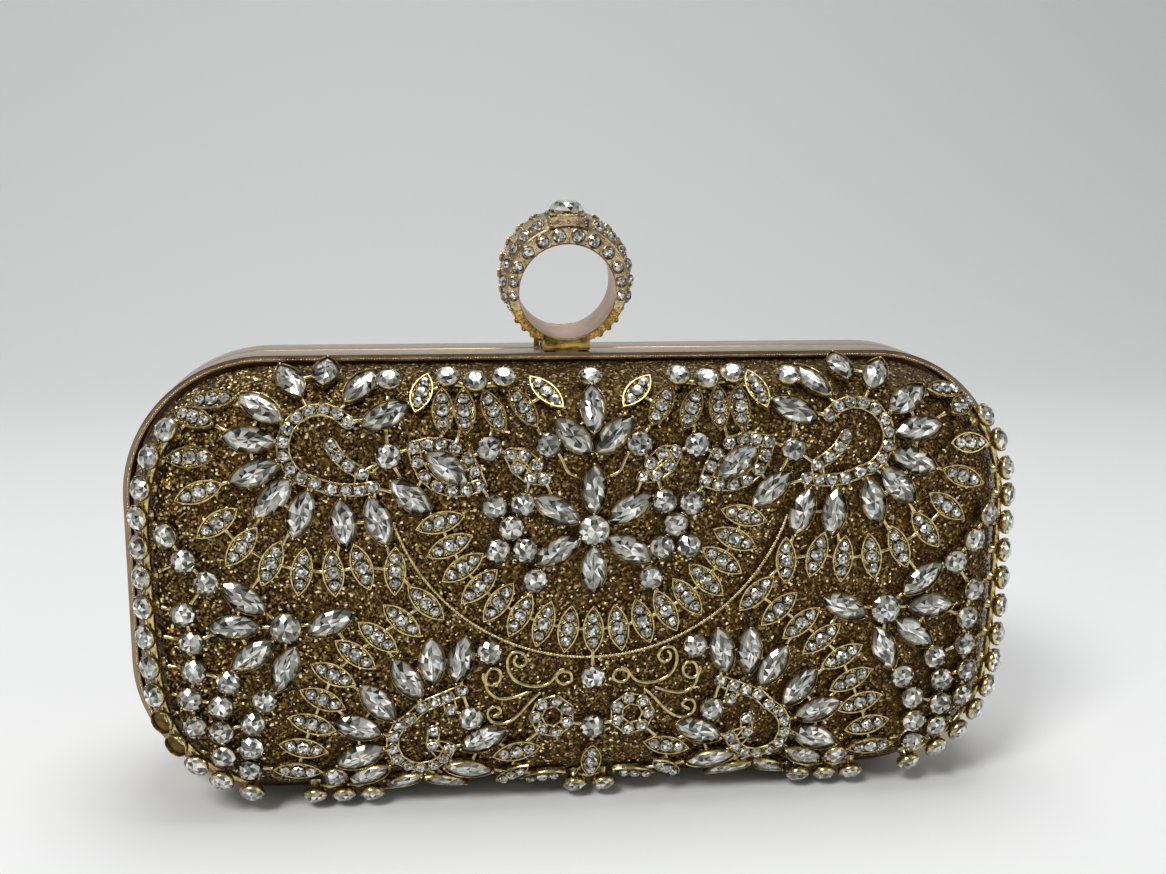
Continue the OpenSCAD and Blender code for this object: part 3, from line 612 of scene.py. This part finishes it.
def petalShape(length, width, tall):
    bm = bmesh.new()
    pointedRim(bm, length, width, petalSettings["steps"])
    growRows(bm, petalSettings["rows"], tall, hollowFrom=petalSettings["hollowFrom"])
    for side in (-1, 1):
        addBead(bm, (side * (length / 2 - petalSettings["clawInset"]), 0, tall), petalSettings["claw"])
    return bm


leafSettings = {
    "rows": [
        (0.96, 0.9, 0), (1, 1, 0.55), (1, 1, 0.85), (0.985, 0.97, 1),
        (0.93, 0.85, 1), (0.90, 0.79, 0.8), (0.885, 0.765, 0.5),
    ],
    "steps": 10,
    "pitch": 0.262,     # of the leaf's length, from stone to stone
    "collet": {"radius": 1.34 * mm, "tall": 0.42, "at": 0.36, "sides": 12, "wall": 0.14 * mm},
    "grain": 0.26 * mm,
    "grainAt": 0.75,
    "grains": [(-0.5, -0.3), (-0.5, 0.3), (0.5, -0.3), (0.5, 0.3), (-1.6, 0), (1.6, 0)],
}


def leafShape(length, width, tall):
    bm = bmesh.new()
    pointedRim(bm, length, width, leafSettings["steps"])
    growRows(bm, leafSettings["rows"], tall)
    pitch = length * leafSettings["pitch"]
    collet = leafSettings["collet"]
    cup = cupShape(collet["radius"], tall * collet["tall"], 0, collet["sides"], 0, collet["wall"])
    unit = asTemplate(cup)
    for step in (-1, 0, 1):
        stamp(bm, unit, Matrix.Translation((step * pitch, 0, tall * collet["at"])))
    for step, side in leafSettings["grains"]:
        addBead(bm, (step * pitch, side * width, tall * leafSettings["grainAt"]), leafSettings["grain"])
    return bm


cupSettings = {
    "edge_cups": {"stem": 0.47, "sides": 16, "claws": 4},
    "round_cups": {"stem": 0, "sides": 16, "claws": 4},
    "flower_cups": {"stem": 0, "sides": 18, "claws": 6},
    "pave_cups": {"stem": 0, "sides": 10, "claws": 0},
}
castNodes = [*cupSettings, "petal_settings", "leaf_settings"]
castGrow = {"petal_settings": (1.17, 1.19), "leaf_settings": (1.07, 1.17), "pave_cups": (1.08, 1.08)}


def makeCastings():
    for nodeName in castNodes:
        places = placesOf(nodeName)
        long, wide, tall = (places[0][size] for size in ("long", "wide", "tall"))
        if nodeName in cupSettings:
            unit = asTemplate(cupShape(long / 2, tall, **cupSettings[nodeName]))
        elif nodeName == "petal_settings":
            unit = asTemplate(petalShape(long, wide, tall))
        else:
            unit = asTemplate(leafShape(long, wide, tall))
        grow = Matrix.Diagonal((*castGrow.get(nodeName, (1, 1)), 1, 1))
        bm = bmesh.new()
        for place in places:
            stamp(bm, unit, matrixAt(place) @ grow)
        finishPiece("cast_" + nodeName, bm, ["castGold", "castShade"], "front", "casting_gold",
                    [nodeName], sharp=0.9)


# struts that tie the castings into one openwork

struts = {
    "near": 13 * mm,        # castings farther apart are never neighbours
    "longest": 2.6 * mm,
    "detour": 0.8,          # no strut where a third casting is this much closer to both
    "overlap": -0.5 * mm,   # castings deeper in each other than this need no strut
    "radius": 0.42 * mm,
    "bite": 0.35 * mm,      # how far a strut goes into each casting
    "lift": 0.55 * mm,
    "smallCup": 1.1,        # castings up to this many small cups long are small cups
    "railGap": 1.4 * mm,    # small cups closer than this get two rails
    "rail": 0.24 * mm,
    "railInset": 0.1 * mm,
    "railShare": 0.6,       # of the small cups' height
    "chainGap": 9 * mm,
    "strip": 0.75 * mm,
    "stripShare": 0.3,      # of the edge cups' height
}


def reachTowards(place, direction):
    lengthwise = direction.dot(place["along"]) / (place["long"] / 2)
    widthwise = direction.dot(place["across"]) / (place["wide"] / 2)
    return 1 / math.sqrt(lengthwise ** 2 + widthwise ** 2)


def gapBetween(one, two):
    run = two["base"] - one["base"]
    direction = run.normalized()
    return run.length - reachTowards(one, direction) - reachTowards(two, -direction)


def neighbourPairs(pieces):
    gaps = {}
    near = {}
    for one, two in combinations(range(len(pieces)), 2):
        if (pieces[one]["base"] - pieces[two]["base"]).length < struts["near"]:
            gap = gapBetween(pieces[one], pieces[two])
            if gap < struts["longest"]:
                gaps[(one, two)] = gaps[(two, one)] = gap
                near.setdefault(one, set()).add(two)
                near.setdefault(two, set()).add(one)
    for (one, two), gap in sorted(gaps.items()):
        closer = gap * struts["detour"]
        between = [other for other in near[one] & near[two]
                   if max(gaps[(one, other)], gaps[(two, other)]) < closer]
        if one < two and not between:
            yield pieces[one], pieces[two], gap


def makeStruts():
    pieces = [place for nodeName in castNodes for place in placesOf(nodeName)]
    smallest = placesOf("pave_cups")[0]["long"] * struts["smallCup"]
    share, lift, bite = (struts[name] for name in ("railShare", "lift", "bite"))
    bm = bmesh.new()
    for first, second, gap in neighbourPairs(pieces):
        run = (second["base"] - first["base"]).normalized()
        if first["long"] < smallest and second["long"] < smallest:
            if gap < struts["railGap"]:
                side = first["up"].cross(run).normalized() * (first["wide"] / 2 - struts["railInset"])
                for way in (-1, 1):
                    start = first["base"] + first["up"] * first["tall"] * share + side * way
                    end = second["base"] + second["up"] * second["tall"] * share + side * way
                    addBar(bm, start, end, struts["rail"])
        elif gap > struts["overlap"]:
            start = first["base"] + run * (reachTowards(first, run) - bite) + first["up"] * lift
            end = second["base"] - run * (reachTowards(second, -run) - bite) + second["up"] * lift
            addBar(bm, start, end, struts["radius"])
    chain = sorted(placesOf("edge_cups"),
                   key=lambda place: math.atan2(place["base"].z - caseMiddle.z, place["base"].x))
    for first, second in zip(chain, chain[1:] + chain[:1]):
        if (second["base"] - first["base"]).length < struts["chainGap"]:
            height = first["tall"] * struts["stripShare"]
            addBar(bm, first["base"] + first["up"] * height, second["base"] + second["up"] * height,
                   struts["strip"])
    finishPiece("casting_struts", bm, ["castGold"], "front", "casting_gold", sharp=0.9)


# wires: the centreline of each solid is read ring by ring from one end

wireSettings = {        # mm
    "ropeRadius": 0.34, "ropeWave": 0.09, "ropePitch": 0.16,
    "scrollRadius": 0.37, "scrollPitch": 0.3, "scrollTip": 0.4,
}
curlSettings = {
    "turns": 0.5,
    "taper": 0.25,              # share of the radius that a curl loses
    "step": 0.3 * mm,
    "closedWithin": 1.3 * mm,   # an end that comes this near to its own wire is closed already
    "widest": 2.4 * mm,         # a bend wider than this is no curl
}


def ringsFromEnd(tip):
    best = []
    for face in tip.link_faces:     # the flat end gives the longest row of rings
        flat = {face}
        queue = [face]
        for current in queue:
            for edge in current.edges:
                for other in edge.link_faces:
                    if other not in flat and other.normal.dot(face.normal) > 0.9999:
                        flat.add(other)
                        queue.append(other)
        verts = []
        for current in queue:
            verts += [vert for vert in current.verts if vert not in verts]
        rings = spreadFrom(verts)
        if len(rings) > len(best):
            best = rings
    return best


def centrelines(nodeName):
    bm = mergedCopy(nodeName)
    lines = []
    for island in islandsOf(bm):
        tip = spreadFrom([island[0]])[-1][0]
        lines.append([sum((vert.co for vert in ring), Vector()) / len(ring) for ring in ringsFromEnd(tip)])
    bm.free()
    return lines


def softened(line, rounds=2):
    for _ in range(rounds):     # corners are cut, the ends stay
        cut = [line[0]]
        for start, end in zip(line, line[1:]):
            cut += [start.lerp(end, 0.25), start.lerp(end, 0.75)]
        line = cut + [line[-1]]
    return line


def evenLine(line, pitch):
    even = [line[0]]
    left = pitch
    for start, end in zip(line, line[1:]):
        length = (end - start).length
        while length >= left and length > 0:
            start = start + (end - start) * left / length
            length -= left
            even.append(start)
            left = pitch
        left -= length
    return even


def curlOn(line):
    # a bent end goes on round its own centre
    first, second, third = line[-7], line[-4], line[-1]
    if min((point - third).length for point in line[:-12]) < curlSettings["closedWithin"]:
        return line
    normal = (second - first).cross(third - second)
    if normal.length < 1e-12:
        return line     # it is straight
    normal.normalize()
    along, across = second - first, third - second
    left, right = normal.cross(along), normal.cross(across)
    middle = (third - first) / 2
    reach = middle.cross(right).dot(normal) / left.cross(right).dot(normal)
    centre = (first + second) / 2 + left * reach
    if (third - centre).length > curlSettings["widest"]:
        return line
    arm = third - centre
    step = curlSettings["step"] / arm.length
    count = int(curlSettings["turns"] * math.tau / step)
    taper = curlSettings["taper"]
    grown = [centre + Matrix.Rotation(step * index, 3, normal) @ arm * (1 - taper * index / count)
             for index in range(1, count + 1)]
    return line + grown


def addTube(bm, line, radii, sides=8):
    tube = bmesh.new()
    last = len(line) - 1
    for index, point in enumerate(line):
        run = (line[min(index + 1, last)] - line[max(index - 1, 0)]).normalized()
        side = run.cross(point - caseMiddle).normalized()
        turn = axesMatrix(side, run.cross(side), run)
        matrix = Matrix.Translation(point) @ turn @ Matrix.Scale(radii[index], 4)
        if index:
            rim = extrudeRim(tube, rim, matrix @ before.inverted())[0]
        else:
            bmesh.ops.create_circle(tube, segments=sides, radius=1, matrix=matrix)
            rim = start = tube.edges[:]
        before = matrix
    capRim(tube, start)
    capRim(tube, rim)
    stamp(bm, asTemplate(tube))


def makeWires():
    bm = bmesh.new()
    for line in centrelines("arc_wire"):
        even = evenLine(softened(line), wireSettings["ropePitch"] * mm)
        radii = [(wireSettings["ropeRadius"] + wireSettings["ropeWave"] * math.cos(math.pi * index / 2)) * mm
                 for index in range(len(even))]
        addTube(bm, even, radii)
    finishPiece("rope_arc", bm, ["castGold"], "front", "casting_gold", ["arc_wire"], sharp=1.2)
    bm = bmesh.new()
    for line in centrelines("scroll_wires"):
        even = curlOn(evenLine(softened(line), wireSettings["scrollPitch"] * mm))
        even = curlOn(even[::-1])
        addTube(bm, even, [wireSettings["scrollRadius"] * mm] * len(even))
        for tip in (even[0], even[-1]):
            addBead(bm, tip, wireSettings["scrollTip"] * mm, "roundBead")
    finishPiece("scrolls", bm, ["scrollGold"], "front", "casting_gold", ["scroll_wires"], sharp=1.2)


# cloth and lining with softened faces, and loose flakes in the cloth

skinSettings = {"joinAngle": 0.6, "joinShape": 0.8, "creaseAngle": 1.0, "levels": 2}
flakeSettings = {
    "count": 20000,
    "size": (0.07 * mm, 0.19 * mm),
    "sides": 5,
    "lean": 0.5,        # spread of the flakes' directions
    "proud": 0.03 * mm,
    "mood": 0.5,
    "shades": 0.3,
}


def softSkin(name, nodeName, materialName, body, slotName):
    bm = mergedCopy(nodeName)
    bmesh.ops.join_triangles(bm, faces=bm.faces, angle_face_threshold=skinSettings["joinAngle"],
                             angle_shape_threshold=skinSettings["joinShape"])
    crease = bm.edges.layers.float.new("crease_edge")
    for edge in bm.edges:
        if len(edge.link_faces) == 2 and edge.calc_face_angle(0) > skinSettings["creaseAngle"]:
            edge[crease] = 1
    piece = finishPiece(name, bm, [materialName], body, slotName, [nodeName], sharp=math.pi)
    smoother = piece.modifiers.new("soften", "SUBSURF")
    smoother.levels = skinSettings["levels"]
    smoother.render_levels = skinSettings["levels"]
    return piece


def makeFlakes(name, cover, body, seed):
    dice = random.Random(seed)
    source = cover.evaluated_get(bpy.context.evaluated_depsgraph_get()).to_mesh()
    source.calc_loop_triangles()
    triangles = []
    areas = []
    for triangle in source.loop_triangles:
        corners = [source.vertices[index].co.copy() for index in triangle.vertices]
        normal = triangle.normal.copy()
        if normal.dot(sum(corners, Vector()) / 3 - caseMiddle) > 0:
            triangles.append((corners, normal))
            areas.append(triangle.area)
    flat = bmesh.new()
    bmesh.ops.create_circle(flat, cap_ends=True, segments=flakeSettings["sides"], radius=1)
    flake = meshFrom(flat, "template")
    bm = bmesh.new()
    for corners, normal in dice.choices(triangles, weights=areas, k=flakeSettings["count"]):
        u, v = sorted((dice.random(), dice.random()))
        point = corners[0] * u + corners[1] * (v - u) + corners[2] * (1 - v)
        facing = normal + Vector([dice.gauss(0, flakeSettings["lean"]) for axis in range(3)])
        turn = facing.to_track_quat("Z", "Y").to_matrix().to_4x4()
        radius = dice.uniform(*flakeSettings["size"])
        sink = radius * (1 - facing.normalized().dot(normal) ** 2) ** 0.5
        place = point - normal * (sink - flakeSettings["proud"])
        if abs(place.y) < backDepth - sink:
            stamp(bm, flake, Matrix.Translation(place) @ turn @ Matrix.Scale(radius, 4))
    piece = finishPiece(name, bm, ["flake"], body, "glitter_cloth")
    toneFacets(piece, seed, flakeSettings["mood"], flakeSettings["shades"])


# frame halves and saddle with softened edges

edgeSettings = {
    "bevelFrom": 0.6,       # of an angle, in radians
    "lipFacing": -0.6,      # the front face of the front band gets painted shade, a darker copy of the band metal
    "seamReach": 0.4 * mm,
    "bandWidth": 0.3 * mm,
    "seamWidth": 0.6 * mm,
    "saddleWidth": 0.15 * mm,
}


def alongSeam(edge):
    # an outer edge of the band where the two halves meet
    if any(abs(vert.co.y) > edgeSettings["seamReach"] for vert in edge.verts):
        return False
    outwards = edge.verts[0].co - caseMiddle
    return max(face.normal.dot(outwards) for face in edge.link_faces) > 1 * mm


def bevelled(name, nodeName, materialNames, body, slotName, width, seam=0, segments=2):
    bm = mergedCopy(nodeName)
    bmesh.ops.dissolve_limit(bm, angle_limit=0.01, verts=bm.verts, edges=bm.edges)
    sharpEdges = [edge for edge in bm.edges
                  if len(edge.link_faces) == 2 and edge.calc_face_angle(0) > edgeSettings["bevelFrom"]]
    seamEdges = [edge for edge in sharpEdges if seam and alongSeam(edge)]
    others = [edge for edge in sharpEdges if edge not in seamEdges]
    for edges, offset in ((others, width), (seamEdges, seam)):
        live = [edge for edge in edges if edge.is_valid]
        bmesh.ops.bevel(bm, geom=live, offset=offset, segments=segments, profile=0.5, affect="EDGES",
                        material=-1, clamp_overlap=True)
    if len(materialNames) > 1:
        # faces turned to the front get painted shade
        for face in bm.faces:
            face.material_index = int(face.normal.y < edgeSettings["lipFacing"])
    finishPiece(name, bm, materialNames, body, slotName, [nodeName], sharp=0.5)


# a fine rope of beads along the front edge of the front frame

ropeSettings = {
    "pitch": 0.52 * mm,
    "bead": 0.27 * mm,
    "inward": 0.86 * mm,
    "back": 0.14 * mm,
    "straight": (61 * mm, 16.5 * mm),   # half of the straight runs between the corners
}


def outerLoop(nodeName):
    bm = mergedCopy(nodeName)
    front = min(vert.co.y for vert in bm.verts)
    links = {}
    for edge in bm.edges:
        if all(abs(vert.co.y - front) < 0.01 * mm for vert in edge.verts) and edge.calc_face_angle(0) > 0.5:
            one, two = edge.verts
            links.setdefault(one, []).append(two)
            links.setdefault(two, []).append(one)
    start = max(links, key=lambda vert: vert.co.x)
    loop = [start.co.copy()]
    before, here = None, start
    while here is not start or before is None:
        following = [vert for vert in links[here] if vert is not before]
        before, here = here, following[0]
        loop.append(here.co.copy())
    bm.free()
    return loop


def makeEdgeRope():
    bm = bmesh.new()
    halfLong, halfHigh = ropeSettings["straight"]
    lift = Vector((0, ropeSettings["back"], 0))
    for point in evenLine(outerLoop("front_frame"), ropeSettings["pitch"])[:-1]:
        pull = Vector((max(-halfLong, min(halfLong, point.x)), point.y,
                       max(caseMiddle.z - halfHigh, min(caseMiddle.z + halfHigh, point.z)))) - point
        addBead(bm, point + pull.normalized() * ropeSettings["inward"] + lift, ropeSettings["bead"])
    finishPiece("edge_rope", bm, ["castGold"], "front", "frame_rose", sharp=1.2)


# the finger ring, drawn in its own frame with its axis along Y

ringSettings = {
    "foot": (-1.8 * mm, 0, 92.25 * mm),
    "lean": 9,              # degrees
    "bore": 9.55 * mm,
    "depth": 2.85 * mm,
    "rise": 1.45 * mm,      # the outside sits higher than the bore
    "steps": 96,
    "section": [            # share of the depth, and mm from the middle plane
        (0, 5.25), (0.03, 5.6), (0.09, 5.74), (0.77, 5.7), (0.79, 5.48), (0.82, 5.48), (0.84, 5.62),
        (0.89, 5.5), (0.93, 5.2), (1.02, 4.75), (1.13, 4.15), (1.24, 3.45), (1.25, 2.7), (1.22, 1.3),
    ],
    "crownFrom": 0.9,       # past this share the crown swells more towards the top
    "crownSwell": 0.32,
    "goldBelow": -3.4 * mm,
    "shade": 3.9 * mm,      # half width of the painted shadow, a darker metal, under the large stone's cup
}
ringRows = {        # the radius is a share of the band's depth there and an addition
    "ring_bevel_stones": {
        "along": 5.7 * mm, "share": 0.44, "lean": 82, "radius": (0.25, 0.24 * mm), "sink": 0.28 * mm,
    },
    "ring_crown_stones": {
        "along": 4.05 * mm, "share": 1.12, "lean": 43, "radius": (0, 1.12 * mm), "sink": 0.4 * mm,
    },
}
ringStones = {"tall": 0.85 * mm, "sunk": 0.25, "sides": 9, "mood": 0.45, "colletWall": 0.2 * mm}
ringCollet = {"tall": 0.42, "stem": 0, "sides": 14, "claws": 0, "wall": 0.13}      # for a radius of 1
ringGrains = {
    "radius": 0.27 * mm,
    "proud": 0.03 * mm,
    "face": (0.12, 0.3, 0.62, 0.76),                                # shares of the depth
    "crown": ((0.97, 5.0), (1.09, 4.4), (1.25, 3.1), (1.24, 2.2)),  # shares, and mm along
    "wideFrom": 0.5,        # a wider step, under the large stone, gets more grains
    "wideCount": 7,
}
lowGrains = {               # on the gold lower part of the band, in degrees under its axis
    "from": 22, "pitch": 5, "count": 9,
    "shares": (0.2, 0.5, 0.78),
    "offset": 0.03,         # radians, for the middle row
    "sink": 0.02 * mm,
    "bead": 0.62 * mm, "beadShare": 0.98, "beadAlong": 4.9 * mm,
}
ringFrame = (
    Matrix.Translation(ringSettings["foot"]) @ Matrix.Rotation(math.radians(ringSettings["lean"]), 4, "X")
    @ Matrix.Translation((0, 0, ringSettings["bore"]))
)


def ringPoint(turn, share, along):
    swell = max(0, share - ringSettings["crownFrom"])
    share -= swell * ringSettings["crownSwell"] * (1 - math.sin(turn))
    reach = ringSettings["bore"] + share * ringSettings["depth"]
    return Vector((reach * math.cos(turn), along, reach * math.sin(turn) + share * ringSettings["rise"]))


def ringMatrix(turn, share, along, lean):
    # stands on the band, leaning from outwards towards the near side
    lean = math.radians(lean)
    radial = Vector((math.cos(turn), 0, math.sin(turn)))
    up = radial * math.cos(lean) + Vector((0, math.copysign(1, along), 0)) * math.sin(lean)
    run = Vector((-math.sin(turn), 0, math.cos(turn)))
    place = Matrix.Translation(ringPoint(turn, share, along))
    return ringFrame @ place @ axesMatrix(run, up.cross(run), up)


def turnsOf(nodeName):
    found = []
    for place in placesOf(nodeName, ringFrame.translation):
        spot = ringFrame.inverted() @ place["base"]
        turn = math.atan2(spot.z - ringSettings["rise"], spot.x)
        found.append((round(turn, 4), math.copysign(1, spot.y)))
    return found


def makeBand():
    bm = bmesh.new()
    section = ringSettings["section"]
    loop = [(share, -along) for share, along in section] + section[::-1]
    bore, depth = ringSettings["bore"], ringSettings["depth"]
    verts = [bm.verts.new((bore + share * depth, along * mm, 0)) for share, along in loop]
    edges = [bm.edges.new((verts[index - 1], verts[index])) for index in range(len(verts))]
    bmesh.ops.spin(bm, geom=verts + edges, cent=(0, 0, 0), axis=(0, 1, 0), angle=math.tau,
                   steps=ringSettings["steps"], use_merge=True)
    bmesh.ops.recalc_face_normals(bm, faces=bm.faces)
    for vert in bm.verts:
        share = (math.hypot(vert.co.x, vert.co.z) - bore) / depth
        vert.co = ringPoint(math.atan2(vert.co.z, vert.co.x), share, vert.co.y)
    for face in bm.faces:
        middle = face.calc_center_median()
        if math.hypot(middle.x, middle.z) < bore + 0.01 * mm:
            face.material_index = 1
        elif middle.z < ringSettings["goldBelow"]:
            face.material_index = 2
        # painted shadow under the large stone's overhanging cup
        elif middle.z > bore + depth and abs(middle.x) < ringSettings["shade"]:
            face.material_index = 3
    bmesh.ops.transform(bm, matrix=ringFrame, verts=bm.verts)
    finishPiece("ring_band", bm, ["ringRose", "ringInside", "saddleGold", "ringShade"], "clasp", "ring_rose",
                ["finger_ring"], sharp=0.45)


def addGrain(bm, turn, share, along):
    addBead(bm, ringFrame @ ringPoint(turn, share, along), ringGrains["radius"])


def stepsOf(nodeName):
    turns = sorted({turn for turn, side in turnsOf(nodeName)})
    return zip(turns, turns[1:])


def makeRingStones():
    collets = bmesh.new()
    collet = asTemplate(cupShape(1, **ringCollet))
    tall = ringStones["tall"]
    for seed, (nodeName, row) in enumerate(ringRows.items(), 20):
        bm = bmesh.new()
        for turn, side in turnsOf(nodeName):
            share, more = row["radius"]
            radius = share * (ringSettings["depth"] + ringSettings["rise"] * math.sin(turn)) + more
            matrix = ringMatrix(turn, row["share"], side * row["along"], row["lean"])
            crystal = asTemplate(roundCrystal(radius, tall, ringStones["sides"]))
            stamp(bm, crystal, matrix @ Matrix.Translation((0, 0, -ringStones["sunk"] * tall)))
            sunk = matrix @ Matrix.Translation((0, 0, -row["sink"]))
            stamp(collets, collet, sunk @ Matrix.Scale(radius + ringStones["colletWall"], 4))
        piece = finishPiece("cut_" + nodeName, bm, ["crystal"], "clasp", "crystal", [nodeName])
        toneFacets(piece, seed, ringStones["mood"])
    for start, end in stepsOf("ring_bevel_stones"):
        for side in (-1, 1):
            for share in ringGrains["face"]:
                along = ringRows["ring_bevel_stones"]["along"] + ringGrains["proud"]
                addGrain(collets, (start + end) / 2, share, side * along)
    for start, end in stepsOf("ring_crown_stones"):
        count = ringGrains["wideCount"] if end - start > ringGrains["wideFrom"] else 1
        for step in range(count):
            for side in (-1, 1):
                for share, along in ringGrains["crown"]:
                    addGrain(collets, start + (end - start) * (step + 0.5) / count, share, side * along * mm)
    # the collets' hollows get painted shade
    finishPiece("ring_collets", collets, ["ringRose", "castShade"], "clasp", "ring_rose", sharp=0.9)


def makeLowGrains():
    bm = bmesh.new()
    along = ringRows["ring_bevel_stones"]["along"] - lowGrains["sink"]
    for step in range(lowGrains["count"]):
        down = lowGrains["from"] + lowGrains["pitch"] * step
        for turn in (math.radians(-down), math.radians(down - 180)):
            for number, share in enumerate(lowGrains["shares"]):
                offset = lowGrains["offset"] * (number == 1)
                for side in (-1, 1):
                    addGrain(bm, turn + offset, share, side * along)
    for turn, side in turnsOf("ring_beads"):
        spot = ringPoint(turn, lowGrains["beadShare"], side * lowGrains["beadAlong"])
        addBead(bm, ringFrame @ spot, lowGrains["bead"], "roundBead")
    finishPiece("ring_grains", bm, ["saddleGold"], "clasp", "saddle_gold", ["ring_beads"], sharp=1.2)


solitaireSettings = {
    "cupWide": 0.93, "cupTall": 0.62, "cupWall": 0.3 * mm, "cupSides": 32, "claws": 6,
    "stoneWide": 1.02, "stoneSides": 12, "table": 0.6, "girdle": 0.5, "mood": 0.58,
}


def makeSolitaire(settings):
    cup = placesOf("ring_bezel", ringFrame.translation)[0]
    stone = placesOf("ring_solitaire", ringFrame.translation)[0]
    shape = cupShape(cup["long"] / 2 * settings["cupWide"], cup["tall"] * settings["cupTall"], 0,
                     settings["cupSides"], settings["claws"], settings["cupWall"])
    bm = bmesh.new()
    stamp(bm, asTemplate(shape), matrixAt(cup))
    finishPiece("solitaire_cup", bm, ["castGold", "castShade"], "clasp", "saddle_gold",
                ["ring_bezel"], sharp=0.6)
    shape = roundCrystal(stone["long"] / 2 * settings["stoneWide"], stone["tall"], settings["stoneSides"],
                         settings["table"], settings["girdle"])
    bm = bmesh.new()
    stamp(bm, asTemplate(shape), matrixAt(stone))
    piece = finishPiece("cut_ring_solitaire", bm, ["crystal"], "clasp", "crystal", ["ring_solitaire"])
    toneFacets(piece, 30, settings["mood"])


# studio

studioSettings = {      # metres
    "floor": (-1.6, 0.5),       # from the front to the foot of the curve
    "width": 5,
    "curve": 0.7,
    "wall": 1.7,
    "paper": (0.78, 0.785, 0.78, 1),
    "sky": (0.82, 0.84, 0.85, 1),
    "skyStrength": 0.35,
    "lamps": {                  # place, size and power
        "key": ((-0.5, -0.7, 0.9), 0.35, 9),
        "fill": ((0.9, -0.6, 0.4), 0.8, 2),
        "top": ((0.05, 0.1, 0.95), 0.5, 4),
    },
}


def makeSweep(settings):
    bm = bmesh.new()
    foot = settings["floor"][1]
    floor = [bm.verts.new((-settings["width"] / 2, y, 0)) for y in settings["floor"]]
    bm.edges.new(floor)
    curve = bmesh.ops.spin(bm, geom=[floor[1]], cent=(0, foot, settings["curve"]), axis=(1, 0, 0),
                           angle=math.pi / 2, steps=16)
    top = bmesh.ops.extrude_vert_indiv(bm, verts=partsOf(curve["geom_last"], bmesh.types.BMVert))
    bmesh.ops.translate(bm, verts=top["verts"], vec=(0, 0, settings["wall"]))
    extrudeRim(bm, bm.edges[:], Matrix.Translation((settings["width"], 0, 0)))
    mesh = asTemplate(bm, "sweep")
    mesh.shade_smooth()
    material, tree, shader = newMaterial("paleSweep")
    shader.inputs["Base Color"].default_value = settings["paper"]
    shader.inputs["Roughness"].default_value = 0.8
    mesh.materials.append(material)
    linkedObject("sweep", mesh)


def makeLights(settings):
    world = bpy.data.worlds.new("studio")
    world.use_nodes = True
    bpy.context.scene.world = world
    sky = world.node_tree.nodes["Background"]
    sky.inputs["Color"].default_value = settings["sky"]
    sky.inputs["Strength"].default_value = settings["skyStrength"]
    for name, (place, size, power) in settings["lamps"].items():
        data = bpy.data.lights.new(name, "AREA")
        data.energy = power
        data.size = size
        lamp = linkedObject(name, data)
        lamp.location = place
        lamp.rotation_euler = (caseMiddle - Vector(place)).to_track_quat("-Z", "Y").to_euler()
    bpy.context.scene.view_settings.view_transform = "Standard"


keptNodes = {
    "back_hinge_leaf": "hingeBrass", "front_hinge_leaf": "hingeBrass", "hinge_pin": "pinSteel",
    "clasp_lugs": "saddleGold", "clasp_pin": "pinSteel", "catch_plate": "hingeBrass",
    "back_panel": "panelBrass", "front_panel": "panelBrass",
}


def dressKeptNodes():
    for nodeName, materialName in keptNodes.items():
        mesh = nodes[nodeName].data
        mesh.materials.clear()
        mesh.materials.append(materials[materialName])


makeCamera(cameraSettings)
makeSweep(studioSettings)
makeLights(studioSettings)
dressKeptNodes()
print("stage 3: studio and kept nodes ready")
halves = ("front", "back")
cloths = [softSkin("cloth_" + half, half + "_cover", "glitterCloth", half, "glitter_cloth")
          for half in halves]
for half in halves:
    softSkin("lining_" + half, half + "_lining", "lining", half, "lining_fabric")
for seed, (half, cloth) in enumerate(zip(halves, cloths), 11):
    makeFlakes("flakes_" + half, cloth, half, seed)
bandEdges = {"width": edgeSettings["bandWidth"], "seam": edgeSettings["seamWidth"], "segments": 3}
bevelled("band_front", "front_frame", ["frameBand", "frameLipShade"], "front", "frame_rose", **bandEdges)
bevelled("band_back", "back_frame", ["frameBand"], "back", "frame_rose", **bandEdges)
bevelled("saddle_block", "saddle", ["saddleGold"], "clasp", "saddle_gold", edgeSettings["saddleWidth"])
makeEdgeRope()
print("stage 4: case ready")
makeCastings()
makeStruts()
makeWires()
print("stage 5: castings ready")
makeBand()
makeRingStones()
makeLowGrains()
makeSolitaire(solitaireSettings)
makeStones()
print("stage 6: stones ready")
